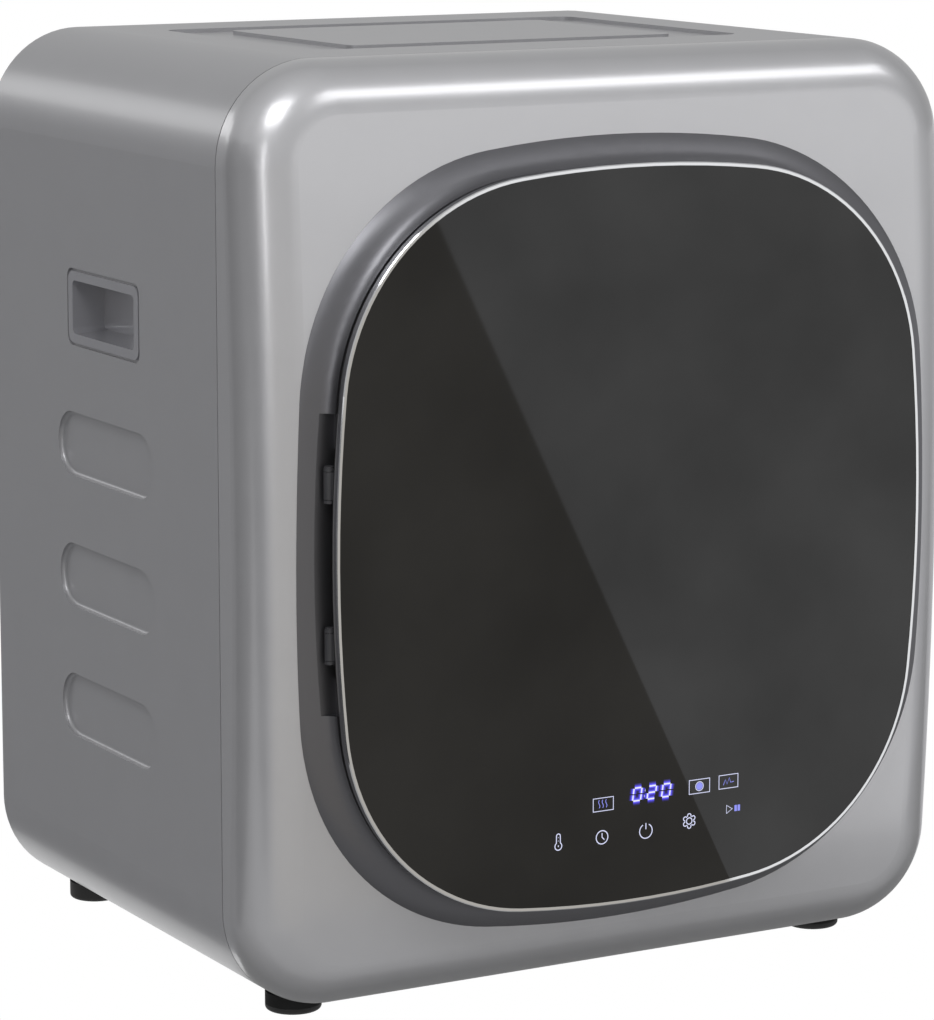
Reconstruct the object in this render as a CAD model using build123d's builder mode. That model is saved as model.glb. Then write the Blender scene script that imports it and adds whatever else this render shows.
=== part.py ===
from build123d import *
from math import acos, atan2, cos, hypot, radians, sin
import os

# Vented tumble dryer, in millimetres. X is to the right, Y to the rear, Z up.
# The origin is on the floor, in the middle of the machine's outline.

# Cabinet
body_w = 515.0
body_h = 590.0
body_r = 64.0
wrap_t = 1.2
flange_w = 14.0
sheet_t = 1.2
rim_gap = 0.3

# Front panel
face_end = 39.0
face_bow = 13.0
face_r = 34.0
panel_t = 2.5
seam_gap = 1.0
panel_open = 1.0
tongue_len = 14.0
tongue_t = 1.5
tongue_root = 4.0

# Door outline, a pillow of four large arcs and four corners
glass_half_w = 211.4
glass_half_h = 232.7
glass_side_r = 1046.0
glass_top_r = 748.0
glass_corner_r = 138.0
door_above_base = 288.0
door_proud = 19.5

# Door stack, from the front to the rear
trim_w = 2.3
trim_depth = 5.2
trim_ledge = 3.0
trim_ledge_t = 0.8
trim_chamfer = 0.6
glass_t = 4.0
glass_set_in = 0.3
glass_gap = 0.1
frame_t = 3.4
frame_out = 1.0
door_gap = 1.0
door_window_r = 148.0

# Door liner
liner_in = 14.0
liner_t = 2.0
liner_edge_r = 4.0
liner_depth = 26.5
bowl_r = 146.0
bowl_depth = 16.0
bowl_draft = 6.0
bowl_edge = 5.0

# Surround between the panel and the door
lip_out = 1.8
tub_in = 3.0
tub_t = 2.5
tub_depth = 34.0
flare_cut = 0.1
notch_half = 93.0
notch_depth = 7.0
notch_in = 5.4
notch_out = 23.6

# Mouth of the drum
mouth_r = 164.0
mouth_t = 3.2
mouth_flange_r = 186.0
mouth_reach = 14.0
mouth_flange_t = 2.0
mouth_edge = 1.5
felt_step = 3.8
felt_t = 3.4
felt_len = 6.0
felt_from_end = 1.0
gasket_w = 8.0
gasket_edge = 3.0
gasket_beside = 1.8

# Drum
drum_r = 210.0
drum_t = 1.2
drum_front = 20.0
drum_len = 262.0
drum_lip_reach = 12.0
drum_lip_gap = 0.4
drum_flange_w = 18.0
drum_edge = 6.0
bead_depth = 3.0
bead_w = 12.0
bead_front = 14.0
bead_rear = 25.0
vent_rows = 3
vent_first_r = 80.0
vent_pitch = 28.0
vent_count = 18
vent_more = 6
vent_len = 20.0
vent_w = 6.0
hub_r = 62.0
hub_t = 2.0
hub_boss_r = 18.0
shaft_head_r = 11.0
shaft_head_t = 3.0
lifter_count = 3
lifter_h = 34.0
lifter_w = 46.0
lifter_taper = 25.0
crest_r = 4.0
lifter_front = 24.0
lifter_rear = 38.0
shaft_r = 7.0
running_gap = 0.05
seat_gap = 0.02
bush_t = 3.0
housing_r = 46.0
clip_t = 1.4
clip_w = 5.0
clip_gap = 0.4
rear_felt_out = 4.0
rear_felt_w = 12.0

# Bulkheads
front_bulk_y = 1.0
drum_to_bulk = 8.0
rear_space = 53.0
bulk_flange = 12.0

# Motor, belt and idler
motor_x = 165.0
motor_above_base = 68.0
motor_r = 45.0
motor_to_chamber = 18.0
motor_len = 92.0
boss_r = 14.0
boss_len = 6.0
bell_in = 3.0
bell_round = 6.0
bell_len = 22.0
motor_shaft_r = 5.0
pulley_r = 8.0
rim_h = 4.0
rim_t = 1.5
rim_clear = 1.0
belt_before_motor = 15.0
belt_w = 9.0
belt_t = 2.0
belt_gap = 0.3
idler_r = 12.0
idler_pin_r = 3.0
idler_x = 190.5
idler_above_base = 130.0
arm_pivot_x = 216.0
pivot_above_base = 84.0
pivot_r = 4.0
arm_t = 2.5
arm_w = 14.0
arm_waist = 10.0
spring_r = 5.0
spring_t = 1.6
bracket_t = 3.0
bracket_half = 48.0
bracket_foot = 60.0
cradle_in = 24.0
cradle_toe = 14.0
cradle_drop = 20.0
arm_clear = 2.0

# Fan and exhaust
fan_r = 50.0
fan_len = 30.0
fan_blades = 24
blade_in_r = 37.0
blade_out_r = 48.5
blade_sweep = 16.0
blade_bow = 2.4
scroll_r = 55.0
scroll_growth = 4.0
scroll_t = 2.0
fan_eye_r = 36.0
fan_front = 6.0
fan_plate = 2.0
fan_hub_r = 12.0
fan_hub_len = 14.0
blade_thick = 1.4
shroud_w = 4.0
shroud_t = 1.5
shaft_stub = 3.5
scroll_mouth = 56.0
scroll_wide = 6.0
scroll_corner = 14.0
duct_r = 50.0
duct_t = 2.0
duct_len = 36.0
duct_x = 40.0
duct_above_base = 92.0
collar_flange = 10.0
collar_t = 2.0
spigot_len = 5.0
chamber_depth = 28.0
chamber_r = 43.0
housing_len = 23.0
shaft_past = 6.0

# Lint duct and filter
lint_half_w = 80.0
lint_top = 62.0
lint_low = 6.0
lint_depth = 15.0
lint_t = 1.5
lint_right = 60.0
lint_box_below_axis = 120.0
filter_half_w = 76.0
filter_t = 8.0
filter_h = 84.0
filter_rail = 6.0
filter_slot = 0.5
filter_bars = 3
filter_bar_w = 3.0
mesh_t = 0.8

# Feet
foot_r = 18.0
foot_h = 12.0
foot_from_side = 60.0
foot_front_inset = 22.0
foot_rear_inset = 19.0
foot_edge_r = 2.5

# Pressings in the sides and the top
pocket_len = 146.0
pocket_h = 42.4
pocket_depth = 3.5
pocket_count = 3
pocket_pitch = 87.6
pocket_low = 152.3
pocket_edge_r = 2.4
pressing_lead = 5.5
handle_above_base = 418.0
handle_w = 107.0
handle_h = 47.0
handle_open_w = 94.0
handle_open_h = 35.0
handle_depth = 22.0
handle_recess = 2.0
handle_groove = 1.8
handle_r = 7.0
handle_open_r = 4.0
handle_cut = 4.0
handle_wall = 2.0
handle_taper = 4.0
channel_w = 314.0
channel_d = 226.0
channel_r = 12.0
island_w = 240.0
island_d = 175.0
island_r = 8.0
channel_depth = 2.5

# Hinge
hinge_half = 49.5
knuckle_h = 17.0
knuckle_r = 3.4
hinge_beside_glass = 0.6
hinge_behind_lip = 2.8
pin_r = 2.0
pin_head = 1.0
ear_t = 2.0
ear_neck = 6.4
ear_root = 4.0
leaf_in = 6.0
leaf_w = 18.0
arm_foot = 14.0
arm_foot_t = 2.0

# Rear panel
rear_t = 1.2
rear_inset = 4.0
louvre_rows = 7
louvre_pitch = 13.0
louvre_len = 150.0
louvre_slot = 5.0
louvre_out = 4.6
louvre_t = 1.0
louvre_up = 4.2
louvre_low = 3.0

# Display behind the glass
display_x = 6.0
display_above_edge = 55.7
display_w = 160.0
display_h = 44.0
display_r = 3.0
board_t = 1.6
chip_t = 1.2
chip_w = 16.0
chip_h = 12.0

# Catch and door switch
catch_in = 12.0
catch_w = 14.0
catch_h = 30.0
catch_plate_t = 0.8
switch_below_axis = 90.0
switch_w = 16.0
switch_h = 26.0
switch_depth = 18.0
switch_wall = 2.0
plunger_r = 3.0
plunger_travel = 3.0
plunger_gap = 0.8
plunger_rest = 1.0

# Heater
heater_w = 180.0
heater_h = 104.0
heater_d = 34.0
heater_above_axis = 112.0
heater_flange = 12.0
heater_lip = 15.0
strip_gap = 6.0
strip_d = 18.0
strip_h = 84.0
strip_pitch = 12.0
strip_slots = 13
slot_w = 8.0
slot_short = 12.0
stat_r = 8.0
stat_h = 6.0
stat_off = 18.0
blade_w = 6.0
blade_t = 0.8
blade_len = 8.0

# Control box and capacitor
box_beside_base = 4.0
box_beside_duct = 8.0
box_d = 110.0
box_h = 46.0
box_t = 2.0
box_r = 4.0
post_r = 3.0
post_h = 5.0
post_in = 10.0
board_in = 4.0
relay_w = 28.0
relay_d = 18.0
relay_in = 9.0
relay_h = 14.0
cap_from_side = 107.5
cap_above_base = 24.0
cap_r = 17.0
cap_len = 70.0
cap_front = 20.0
cap_foot_w = 58.0
cap_foot_d = 14.0

# Base, gland and rear screws
base_side_clear = 5.5
base_wall_h = 8.0
gland_from_side = 67.5
gland_above_base = 60.0
gland_r = 9.0
gland_bore_r = 4.0
gland_rim = 3.0
gland_len = 10.0
screw_inset = 11.0
screw_r = 4.0
screw_head = 2.0
screw_edge = 1.2
screw_rows = 150.0
screw_columns = 120.0

# Places worked out from the sizes above
rear_bulk_y = drum_front + drum_len + drum_to_bulk
cab_depth = rear_bulk_y + rear_space
front_reach = face_end + face_bow + door_proud
rear_reach = cab_depth + rear_t + duct_len
seam_y = (front_reach - rear_reach) / 2
rear_y = seam_y + cab_depth
rear_face_y = rear_y + rear_t
fan_y1 = rear_y - spigot_len
base_z = foot_h
top_z = base_z + body_h
mid_z = base_z + body_h / 2
door_z = base_z + door_above_base
door_front_y = seam_y - front_reach
face_y = seam_y - face_end - face_bow
trim_back_y = door_front_y + trim_depth
frame_back_y = trim_back_y + frame_t
lip_y = frame_back_y + door_gap
tub_back_y = lip_y + tub_depth
tub_floor_y = tub_back_y - tub_t
bulk_y = seam_y + front_bulk_y
rear_bulk = seam_y + rear_bulk_y
drum_y = seam_y + drum_front
drum_end_y = drum_y + drum_len
side_mid = cab_depth / 2 - pressing_lead
lifter_len = drum_len - lifter_front - lifter_rear
motor_z = base_z + motor_above_base
idler_z = base_z + idler_above_base
arm_z = base_z + pivot_above_base
duct_z = base_z + duct_above_base
inner_w = body_w - 2 * wrap_t
inner_h = body_h - 2 * wrap_t
mouth_out = mouth_r + mouth_t
felt_seat_r = mouth_out + felt_step
drum_lip_r = felt_seat_r + felt_t + drum_lip_gap
switch_z = door_z - switch_below_axis
display_z = door_z - glass_half_h + display_above_edge
heater_z = door_z + heater_above_axis
gland_x = gland_from_side - body_w / 2
gland_z = base_z + gland_above_base
cap_x = cap_from_side - body_w / 2
cap_z = base_z + cap_above_base
floor_z = base_z + wrap_t + sheet_t
filter_y = bulk_y - lint_depth + lint_t + 2 * filter_slot
chamber_y = rear_bulk - chamber_depth
motor_y1 = chamber_y - motor_to_chamber
motor_y0 = motor_y1 - motor_len
housing_end_y = rear_bulk + housing_len
shaft_end_y = housing_end_y + shaft_past
foot_x = body_w / 2 - foot_from_side
base_half_w = body_w / 2 - body_r - base_side_clear
box_w = base_half_w - box_beside_base - lint_half_w - box_beside_duct
box_x = box_beside_base - base_half_w + box_w / 2
base_y0 = bulk_y + sheet_t + bulk_flange + rim_gap
base_y1 = rear_bulk - rim_gap
hinge_x = -glass_half_w - hinge_beside_glass
catch_x = glass_half_w - liner_in - catch_in
tongue_w = inner_w - 2 * rim_gap
tongue_h = inner_h - 2 * rim_gap
tongue_r = body_r - wrap_t - rim_gap
bow_r = ((body_h / 2) ** 2 + face_bow ** 2) / (2 * face_bow)

os.makedirs("parts", exist_ok=True)


def at_y(y):
    """Upright plane across the machine at depth y, seen from the front."""
    return Plane.XZ.offset(-y)


def at_x(x):
    """Upright plane from front to rear at x, seen from the right."""
    return Plane.YZ.offset(x)


def save(piece, name):
    """Label a finished piece and write it."""
    piece.part.label = name
    export_step(piece.part, f"parts/{name}.step")


def pillow(grow, grow_h=None):
    """The door's outline, grown or shrunk in width and height, as a sketch about the origin."""
    grow_h = grow if grow_h is None else grow_h
    half_w = glass_half_w + grow
    half_h = glass_half_h + grow_h
    side_r = glass_side_r + grow
    top_r = glass_top_r + grow_h
    with BuildSketch() as outline:
        with Locations((side_r - half_w, 0)):
            Circle(side_r)
        with Locations((half_w - side_r, 0)):
            Circle(side_r, mode=Mode.INTERSECT)
        with Locations((0, top_r - half_h)):
            Circle(top_r, mode=Mode.INTERSECT)
        with Locations((0, half_h - top_r)):
            Circle(top_r, mode=Mode.INTERSECT)
        fillet(outline.vertices(), glass_corner_r + (grow + grow_h) / 2)
    return outline.sketch


def pillow_slab(grow, y0, y1):
    """The door's outline as a slab from depth y0 to y1."""
    with BuildPart() as slab:
        with BuildSketch(at_y(y0)):
            with Locations((0, door_z)):
                add(pillow(grow))
        extrude(amount=y0 - y1)
    return slab.part


def ring(centre_x, centre_z, points):
    """A turned piece about an axis from front to rear; points are radius and depth."""
    with BuildPart() as turned:
        with BuildSketch(Plane(origin=(centre_x, 0, centre_z), x_dir=(1, 0, 0), z_dir=(0, 0, 1))):
            with BuildLine():
                Polyline(*points, close=True)
            make_face()
        revolve(axis=Axis((centre_x, 0, centre_z), (0, 1, 0)))
    return turned.part


def tube(centre_x, centre_z, inner_r, outer_r, y0, y1):
    """A plain ring about an axis from front to rear."""
    with BuildPart() as sleeve:
        with BuildSketch(at_y(y0)):
            with Locations((centre_x, centre_z)):
                Circle(outer_r)
                if inner_r > 0:
                    Circle(inner_r, mode=Mode.SUBTRACT)
        extrude(amount=y0 - y1)
    return sleeve.part


def pocket_heights():
    return [base_z + pocket_low + i * pocket_pitch for i in range(pocket_count)]


# Cabinet wrap


def wrap_block(inset):
    """The closed loop's block, shrunk by inset, with every pressing pushed in by the same."""
    with BuildPart() as block:
        with BuildSketch(at_y(seam_y)):
            with Locations((0, mid_z)):
                RectangleRounded(body_w - 2 * inset, body_h - 2 * inset, body_r - inset)
        extrude(amount=-cab_depth)
        for side in (-1, 1):
            skin = at_x(side * body_w / 2)
            with BuildSketch(skin):
                with Locations(*[(seam_y + side_mid, z) for z in pocket_heights()]):
                    SlotOverall(pocket_len + 2 * inset, pocket_h + 2 * inset)
            extrude(amount=-side * (pocket_depth + inset), mode=Mode.SUBTRACT)
            with BuildSketch(skin):
                with Locations((seam_y + side_mid, base_z + handle_above_base)):
                    RectangleRounded(handle_w + 2 * (handle_groove + inset), handle_h + 2 * (handle_groove + inset),
                                     handle_r + inset)
            extrude(amount=-side * (handle_recess + inset), mode=Mode.SUBTRACT)
        with BuildSketch(Plane.XY.offset(top_z)):
            with Locations((0, seam_y + cab_depth / 2)):
                RectangleRounded(channel_w + 2 * inset, channel_d + 2 * inset, channel_r + inset)
                RectangleRounded(island_w - 2 * inset, island_d - 2 * inset, island_r - inset, mode=Mode.SUBTRACT)
        extrude(amount=-(channel_depth + inset), mode=Mode.SUBTRACT)
    return block.part


with BuildPart() as cabinet_wrap:
    add(wrap_block(0))
    pocket_floor = body_w / 2 - pocket_depth
    for side in (-1, 1):
        floor_x = side * pocket_floor
        fillet(cabinet_wrap.edges().filter_by_position(Axis.X, floor_x - 0.01, floor_x + 0.01), pocket_edge_r)
    add(wrap_block(wrap_t), mode=Mode.SUBTRACT)
    with BuildSketch(at_y(rear_y - wrap_t)):
        with Locations((0, mid_z)):
            RectangleRounded(inner_w, inner_h, body_r - wrap_t)
            RectangleRounded(inner_w - 2 * flange_w, inner_h - 2 * flange_w, body_r - wrap_t - flange_w,
                             mode=Mode.SUBTRACT)
    extrude(amount=-wrap_t)
    for side in (-1, 1):
        with BuildSketch(at_x(side * body_w / 2)):
            with Locations((seam_y + side_mid, base_z + handle_above_base)):
                RectangleRounded(handle_open_w + 2 * handle_cut, handle_open_h + 2 * handle_cut,
                                 handle_open_r + handle_wall)
        extrude(amount=-side * handle_depth / 2, mode=Mode.SUBTRACT)
save(cabinet_wrap, "cabinet_wrap")


# Front panel


def panel_block(inset):
    """The front panel's outer form, shrunk by inset on the sides and the face."""
    back = seam_y - seam_gap
    with BuildPart() as block:
        with BuildSketch(at_y(back)):
            with Locations((0, mid_z)):
                RectangleRounded(body_w - 2 * inset, body_h - 2 * inset, body_r - inset)
        extrude(amount=face_end + face_bow)
        with BuildSketch(at_x(0)):
            with Locations((face_y + inset + bow_r, mid_z)):
                Circle(bow_r)
        extrude(amount=body_w, both=True, mode=Mode.INTERSECT)
        front = block.faces().filter_by(GeomType.CYLINDER).sort_by(Axis.Y)[0]
        fillet(front.edges(), face_r - inset)
    return block.part


panel_outer = panel_block(0)
with BuildPart() as front_panel:
    add(panel_outer)
    add(panel_block(panel_t), mode=Mode.SUBTRACT)
    add(pillow_slab(panel_open, door_front_y, seam_y), mode=Mode.SUBTRACT)
    with BuildSketch(at_y(seam_y + tongue_len)):
        with Locations((0, mid_z)):
            RectangleRounded(tongue_w, tongue_h, tongue_r)
            RectangleRounded(tongue_w - 2 * tongue_t, tongue_h - 2 * tongue_t, tongue_r - tongue_t,
                             mode=Mode.SUBTRACT)
    extrude(amount=tongue_len + seam_gap + tongue_root)
save(front_panel, "front_panel")


# Door surround

# Depth behind the lip, with the growth in width and in height there
flare = [(0, lip_out, lip_out), (3.5, 3.6, 2.8), (7.0, 9.0, 4.8), (10.0, 18.0, 8.2), (14.0, 24.0, 13.4),
         (19.0, 27.5, 18.4), (24.0, 29.0, 22.0)]

with BuildPart() as flare_form:
    for depth, grow_w, grow_h in flare:
        with BuildSketch(at_y(lip_y + depth)):
            with Locations((0, door_z)):
                add(pillow(grow_w, grow_h))
    loft()

with BuildPart() as door_surround:
    add(flare_form)
    add(panel_block(-flare_cut), mode=Mode.SUBTRACT)
    add(pillow_slab(tub_t - tub_in, lip_y, tub_back_y))
    add(pillow_slab(-tub_in, door_front_y, tub_floor_y), mode=Mode.SUBTRACT)
    with BuildSketch(at_y(lip_y)):
        with Locations((0, door_z)):
            Circle(mouth_r + mouth_t + rim_gap)
        with Locations((catch_x, switch_z)):
            Circle(plunger_r + rim_gap)
    extrude(amount=-2 * tub_depth, mode=Mode.SUBTRACT)
    with BuildSketch(at_x(-glass_half_w - notch_out)):
        with Locations((lip_y, door_z)):
            Rectangle(2 * notch_depth, 2 * notch_half)
    extrude(amount=notch_out + notch_in, mode=Mode.SUBTRACT)
save(door_surround, "door_surround")


# Door


def door_ring(outer_grow, inner_grow, y0, y1):
    """A band between two sizes of the door's outline."""
    with BuildPart() as band:
        add(pillow_slab(outer_grow, y0, y1))
        add(pillow_slab(inner_grow, y0 - 1, y1 + 1), mode=Mode.SUBTRACT)
    return band.part


glass_y = door_front_y + glass_set_in

with BuildPart() as door_glass:
    add(pillow_slab(-glass_gap, glass_y, glass_y + glass_t))
save(door_glass, "door_glass")

with BuildPart() as door_trim:
    add(door_ring(trim_w, 0, door_front_y, trim_back_y))
    add(door_ring(trim_w, -trim_ledge, trim_back_y - trim_ledge_t, trim_back_y))
    rim = door_trim.faces().sort_by(Axis.Y)[0].outer_wire().edges()
    chamfer(rim, trim_chamfer)
save(door_trim, "door_trim")

with BuildPart() as door_frame:
    add(pillow_slab(frame_out, trim_back_y, frame_back_y))
    with BuildSketch(at_y(trim_back_y)):
        with Locations((0, door_z)):
            Circle(door_window_r)
        with Locations((display_x, display_z)):
            RectangleRounded(display_w, display_h, display_r)
    extrude(amount=-frame_t, mode=Mode.SUBTRACT)
save(door_frame, "door_frame")

with BuildPart() as display_board:
    with BuildSketch(at_y(glass_y + glass_t + rim_gap)):
        with Locations((display_x, display_z)):
            RectangleRounded(display_w - 2 * rim_gap, display_h - 2 * rim_gap, display_r)
    extrude(amount=-board_t)
    with BuildSketch(at_y(glass_y + glass_t + rim_gap + board_t)):
        with Locations((display_x, display_z)):
            with GridLocations(display_w / 4, 1, 3, 1):
                Rectangle(chip_w, chip_h)
    extrude(amount=-chip_t)
save(display_board, "display_board")

liner_back_y = frame_back_y + liner_depth
bowl_end_y = liner_back_y + bowl_depth
bowl_end_r = bowl_r - bowl_draft

with BuildPart() as door_liner:
    add(pillow_slab(-liner_in, frame_back_y, liner_back_y))
    fillet(door_liner.faces().sort_by(Axis.Y)[-1].outer_wire().edges(), liner_edge_r)
    add(ring(0, door_z, [(0, liner_back_y - 1), (bowl_r, liner_back_y - 1), (bowl_r, liner_back_y),
                         (bowl_end_r, bowl_end_y - bowl_edge), (bowl_end_r - bowl_edge, bowl_end_y),
                         (0, bowl_end_y)]))
    add(pillow_slab(-liner_in - liner_t, frame_back_y, liner_back_y - liner_t), mode=Mode.SUBTRACT)
    add(ring(0, door_z, [(0, frame_back_y), (bowl_r - liner_t, frame_back_y), (bowl_r - liner_t, liner_back_y),
                         (bowl_end_r - liner_t, bowl_end_y - bowl_edge - liner_t / 2),
                         (bowl_end_r - liner_t - bowl_edge, bowl_end_y - liner_t),
                         (0, bowl_end_y - liner_t)]), mode=Mode.SUBTRACT)
save(door_liner, "door_liner")

with BuildPart() as catch_plate:
    with BuildSketch(at_y(liner_back_y)):
        with Locations((catch_x, door_z)):
            Rectangle(catch_w, catch_h)
    extrude(amount=-catch_plate_t)
save(catch_plate, "catch_plate")

with BuildPart() as catch_magnet:
    with BuildSketch(at_y(tub_floor_y)):
        with Locations((catch_x, door_z)):
            Rectangle(catch_w, catch_h)
    extrude(amount=tub_floor_y - liner_back_y - catch_plate_t - rim_gap)
save(catch_magnet, "catch_magnet")

gasket_r = mouth_out + gasket_beside
gasket_out = gasket_r + gasket_w
gasket_lip_y = liner_back_y + rim_gap
with BuildPart() as door_gasket:
    add(ring(0, door_z, [(gasket_r, tub_floor_y), (gasket_out, tub_floor_y), (gasket_out, gasket_lip_y + gasket_edge),
                         (gasket_out - gasket_edge, gasket_lip_y), (gasket_r + gasket_edge, gasket_lip_y),
                         (gasket_r, gasket_lip_y + gasket_edge)]))
save(door_gasket, "door_gasket")


# Hinge

hinge_y = lip_y + hinge_behind_lip
ear_off = knuckle_h / 2 + rim_gap
leaf_left = -glass_half_w + leaf_in
leaf_right = leaf_left + leaf_w
hinge_heights = (door_z - hinge_half, door_z + hinge_half)

with BuildPart() as hinge_arms:
    for z in hinge_heights:
        with BuildSketch(Plane.XY.offset(z - knuckle_h / 2)):
            with BuildLine():
                Polyline((hinge_x, hinge_y - knuckle_r), (hinge_x + pin_r, frame_back_y),
                         (hinge_x + arm_foot, frame_back_y), (hinge_x + arm_foot, frame_back_y + arm_foot_t),
                         (hinge_x + knuckle_r, frame_back_y + arm_foot_t), (hinge_x + knuckle_r, hinge_y), close=True)
            make_face()
            with Locations((hinge_x, hinge_y)):
                Circle(knuckle_r)
                Circle(pin_r + running_gap, mode=Mode.SUBTRACT)
        extrude(amount=knuckle_h)
save(hinge_arms, "hinge_arms")

with BuildPart() as hinge_brackets:
    for z in hinge_heights:
        with BuildSketch(at_y(tub_floor_y)):
            with Locations(((leaf_left + leaf_right) / 2, z)):
                Rectangle(leaf_right - leaf_left, 2 * ear_off + 2 * ear_t)
        extrude(amount=ear_t)
        for low in (z - ear_off - ear_t, z + ear_off):
            with BuildSketch(Plane.XY.offset(low)):
                with BuildLine():
                    Polyline((leaf_left, tub_floor_y), (leaf_right, tub_floor_y), (leaf_right, tub_floor_y - ear_root),
                             (leaf_left + ear_neck, tub_floor_y - ear_root - 1), (leaf_left + ear_neck, hinge_y - 1),
                             (hinge_x, hinge_y - knuckle_r),
                             (hinge_x, hinge_y + knuckle_r), (leaf_left, hinge_y + knuckle_r), close=True)
                make_face()
                with Locations((hinge_x, hinge_y)):
                    Circle(knuckle_r)
                    Circle(pin_r + running_gap / 2, mode=Mode.SUBTRACT)
            extrude(amount=ear_t)
save(hinge_brackets, "hinge_brackets")

with BuildPart() as hinge_pins:
    for z in hinge_heights:
        with BuildSketch(Plane.XY.offset(z - ear_off - ear_t)):
            with Locations((hinge_x, hinge_y)):
                Circle(pin_r)
        extrude(amount=2 * (ear_off + ear_t))
        with BuildSketch(Plane.XY.offset(z + ear_off + ear_t)):
            with Locations((hinge_x, hinge_y)):
                Circle(pin_r + pin_head)
        extrude(amount=pin_head)
save(hinge_pins, "hinge_pins")


# Door switch

with BuildPart() as door_switch:
    with BuildSketch(at_y(tub_back_y)):
        with Locations((catch_x, switch_z)):
            Rectangle(switch_w, switch_h)
    extrude(amount=-switch_depth)
    with Locations(Location((catch_x, tub_back_y, switch_z), (-90, 0, 0))):
        Hole(plunger_r + running_gap, depth=switch_depth - switch_wall)
save(door_switch, "door_switch")

with BuildPart() as switch_plunger:
    plunger_end_y = tub_back_y + switch_depth - switch_wall - plunger_travel - plunger_rest
    add(tube(catch_x, switch_z, 0, plunger_r, liner_back_y + plunger_gap, plunger_end_y))
save(switch_plunger, "switch_plunger")


# Mouth of the drum

mouth_front_y = tub_floor_y + rim_gap
mouth_end_y = bulk_y + mouth_reach
with BuildPart() as drum_mouth:
    add(ring(0, door_z, [(mouth_r + mouth_edge, mouth_front_y), (mouth_out, mouth_front_y),
                         (mouth_out, bulk_y - mouth_flange_t), (mouth_flange_r, bulk_y - mouth_flange_t),
                         (mouth_flange_r, bulk_y), (felt_seat_r, bulk_y), (felt_seat_r, mouth_end_y),
                         (mouth_r, mouth_end_y), (mouth_r, mouth_front_y + mouth_edge)]))
    with BuildSketch(at_y(filter_y - filter_slot)):
        with Locations((0, door_z - mouth_r)):
            Rectangle(2 * (filter_half_w + 2 * filter_slot), filter_h + filter_rail)
    extrude(amount=-filter_t - 2 * filter_slot, mode=Mode.SUBTRACT)
save(drum_mouth, "drum_mouth")

felt_y = mouth_end_y - felt_len - felt_from_end
with BuildPart() as front_felt:
    add(tube(0, door_z, felt_seat_r + 2 * running_gap, drum_lip_r - drum_lip_gap, felt_y, felt_y + felt_len))
save(front_felt, "front_felt")


# Drum

def rolled(r, depths):
    """Points along the drum's wall at radius r, pressed inward by a bead at each depth."""
    points = []
    for y in depths:
        points += [(r, y - bead_w / 2), (r - bead_depth, y - bead_w / 4), (r - bead_depth, y + bead_w / 4),
                   (r, y + bead_w / 2)]
    return points


lip_front_y = drum_y - drum_lip_reach
bead_depths = [drum_y + bead_front, drum_end_y - bead_rear]
inner_wall = rolled(drum_r - drum_t, bead_depths)
with BuildPart() as drum_shell:
    add(ring(0, door_z, [(drum_lip_r, lip_front_y), (drum_lip_r + drum_t, lip_front_y),
                         (drum_lip_r + drum_t, drum_y - drum_t), (drum_r - drum_edge, drum_y - drum_t),
                         (drum_r, drum_y - drum_t + drum_edge)] + rolled(drum_r, bead_depths)
                        + [(drum_r, drum_end_y), (drum_r - drum_flange_w, drum_end_y),
                           (drum_r - drum_flange_w, drum_end_y - drum_t), (drum_r - drum_t, drum_end_y - drum_t)]
                        + inner_wall[::-1]
                        + [(drum_r - drum_t, drum_y + drum_edge - drum_t / 2),
                           (drum_r - drum_edge - drum_t / 2, drum_y), (drum_lip_r, drum_y)]))
save(drum_shell, "drum_shell")

back_y = drum_end_y - 2 * drum_t - running_gap
with BuildPart() as drum_back:
    add(tube(0, door_z, shaft_r + running_gap, drum_r - drum_t - rim_gap, back_y, back_y + drum_t))
    with BuildSketch(at_y(back_y)):
        for row in range(vent_rows):
            with Locations((0, door_z)):
                with PolarLocations(vent_first_r + row * vent_pitch, vent_count + row * vent_more):
                    Rectangle(vent_len, vent_w)
    extrude(amount=-drum_t, mode=Mode.SUBTRACT)
save(drum_back, "drum_back")

with BuildPart() as lifter_form:
    lifter_mid_y = drum_y + lifter_front + lifter_len / 2
    with BuildSketch(Plane(origin=(0, lifter_mid_y, drum_r), x_dir=(1, 0, 0), z_dir=(0, 0, -1))):
        Rectangle(lifter_w, lifter_len)
    extrude(amount=lifter_h, taper=lifter_taper)
    fillet(lifter_form.faces().sort_by(Axis.Z)[0].edges(), crest_r)
    add(tube(0, 0, 0, drum_r - drum_t - rim_gap, drum_y, drum_end_y), mode=Mode.INTERSECT)

for i in range(lifter_count):
    with BuildPart() as lifter:
        with Locations(Location((0, 0, door_z), (0, i * 360 / lifter_count, 0))):
            add(lifter_form.part)
    save(lifter, f"drum_lifter_{i + 1}")

hub_y = drum_end_y - drum_t
with BuildPart() as drum_shaft:
    add(ring(0, door_z, [(0, back_y - shaft_head_t), (shaft_head_r, back_y - shaft_head_t), (shaft_head_r, back_y),
                         (shaft_r, back_y), (shaft_r, hub_y), (hub_r, hub_y), (hub_r, hub_y + hub_t),
                         (hub_boss_r, hub_y + 2 * hub_t), (shaft_r, hub_y + 2 * hub_t), (shaft_r, shaft_end_y),
                         (0, shaft_end_y)]))
save(drum_shaft, "drum_shaft")

bush_r = shaft_r + running_gap
with BuildPart() as drum_bearing:
    add(tube(0, door_z, bush_r, bush_r + bush_t, rear_bulk + rim_gap, housing_end_y))
save(drum_bearing, "drum_bearing")

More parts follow.
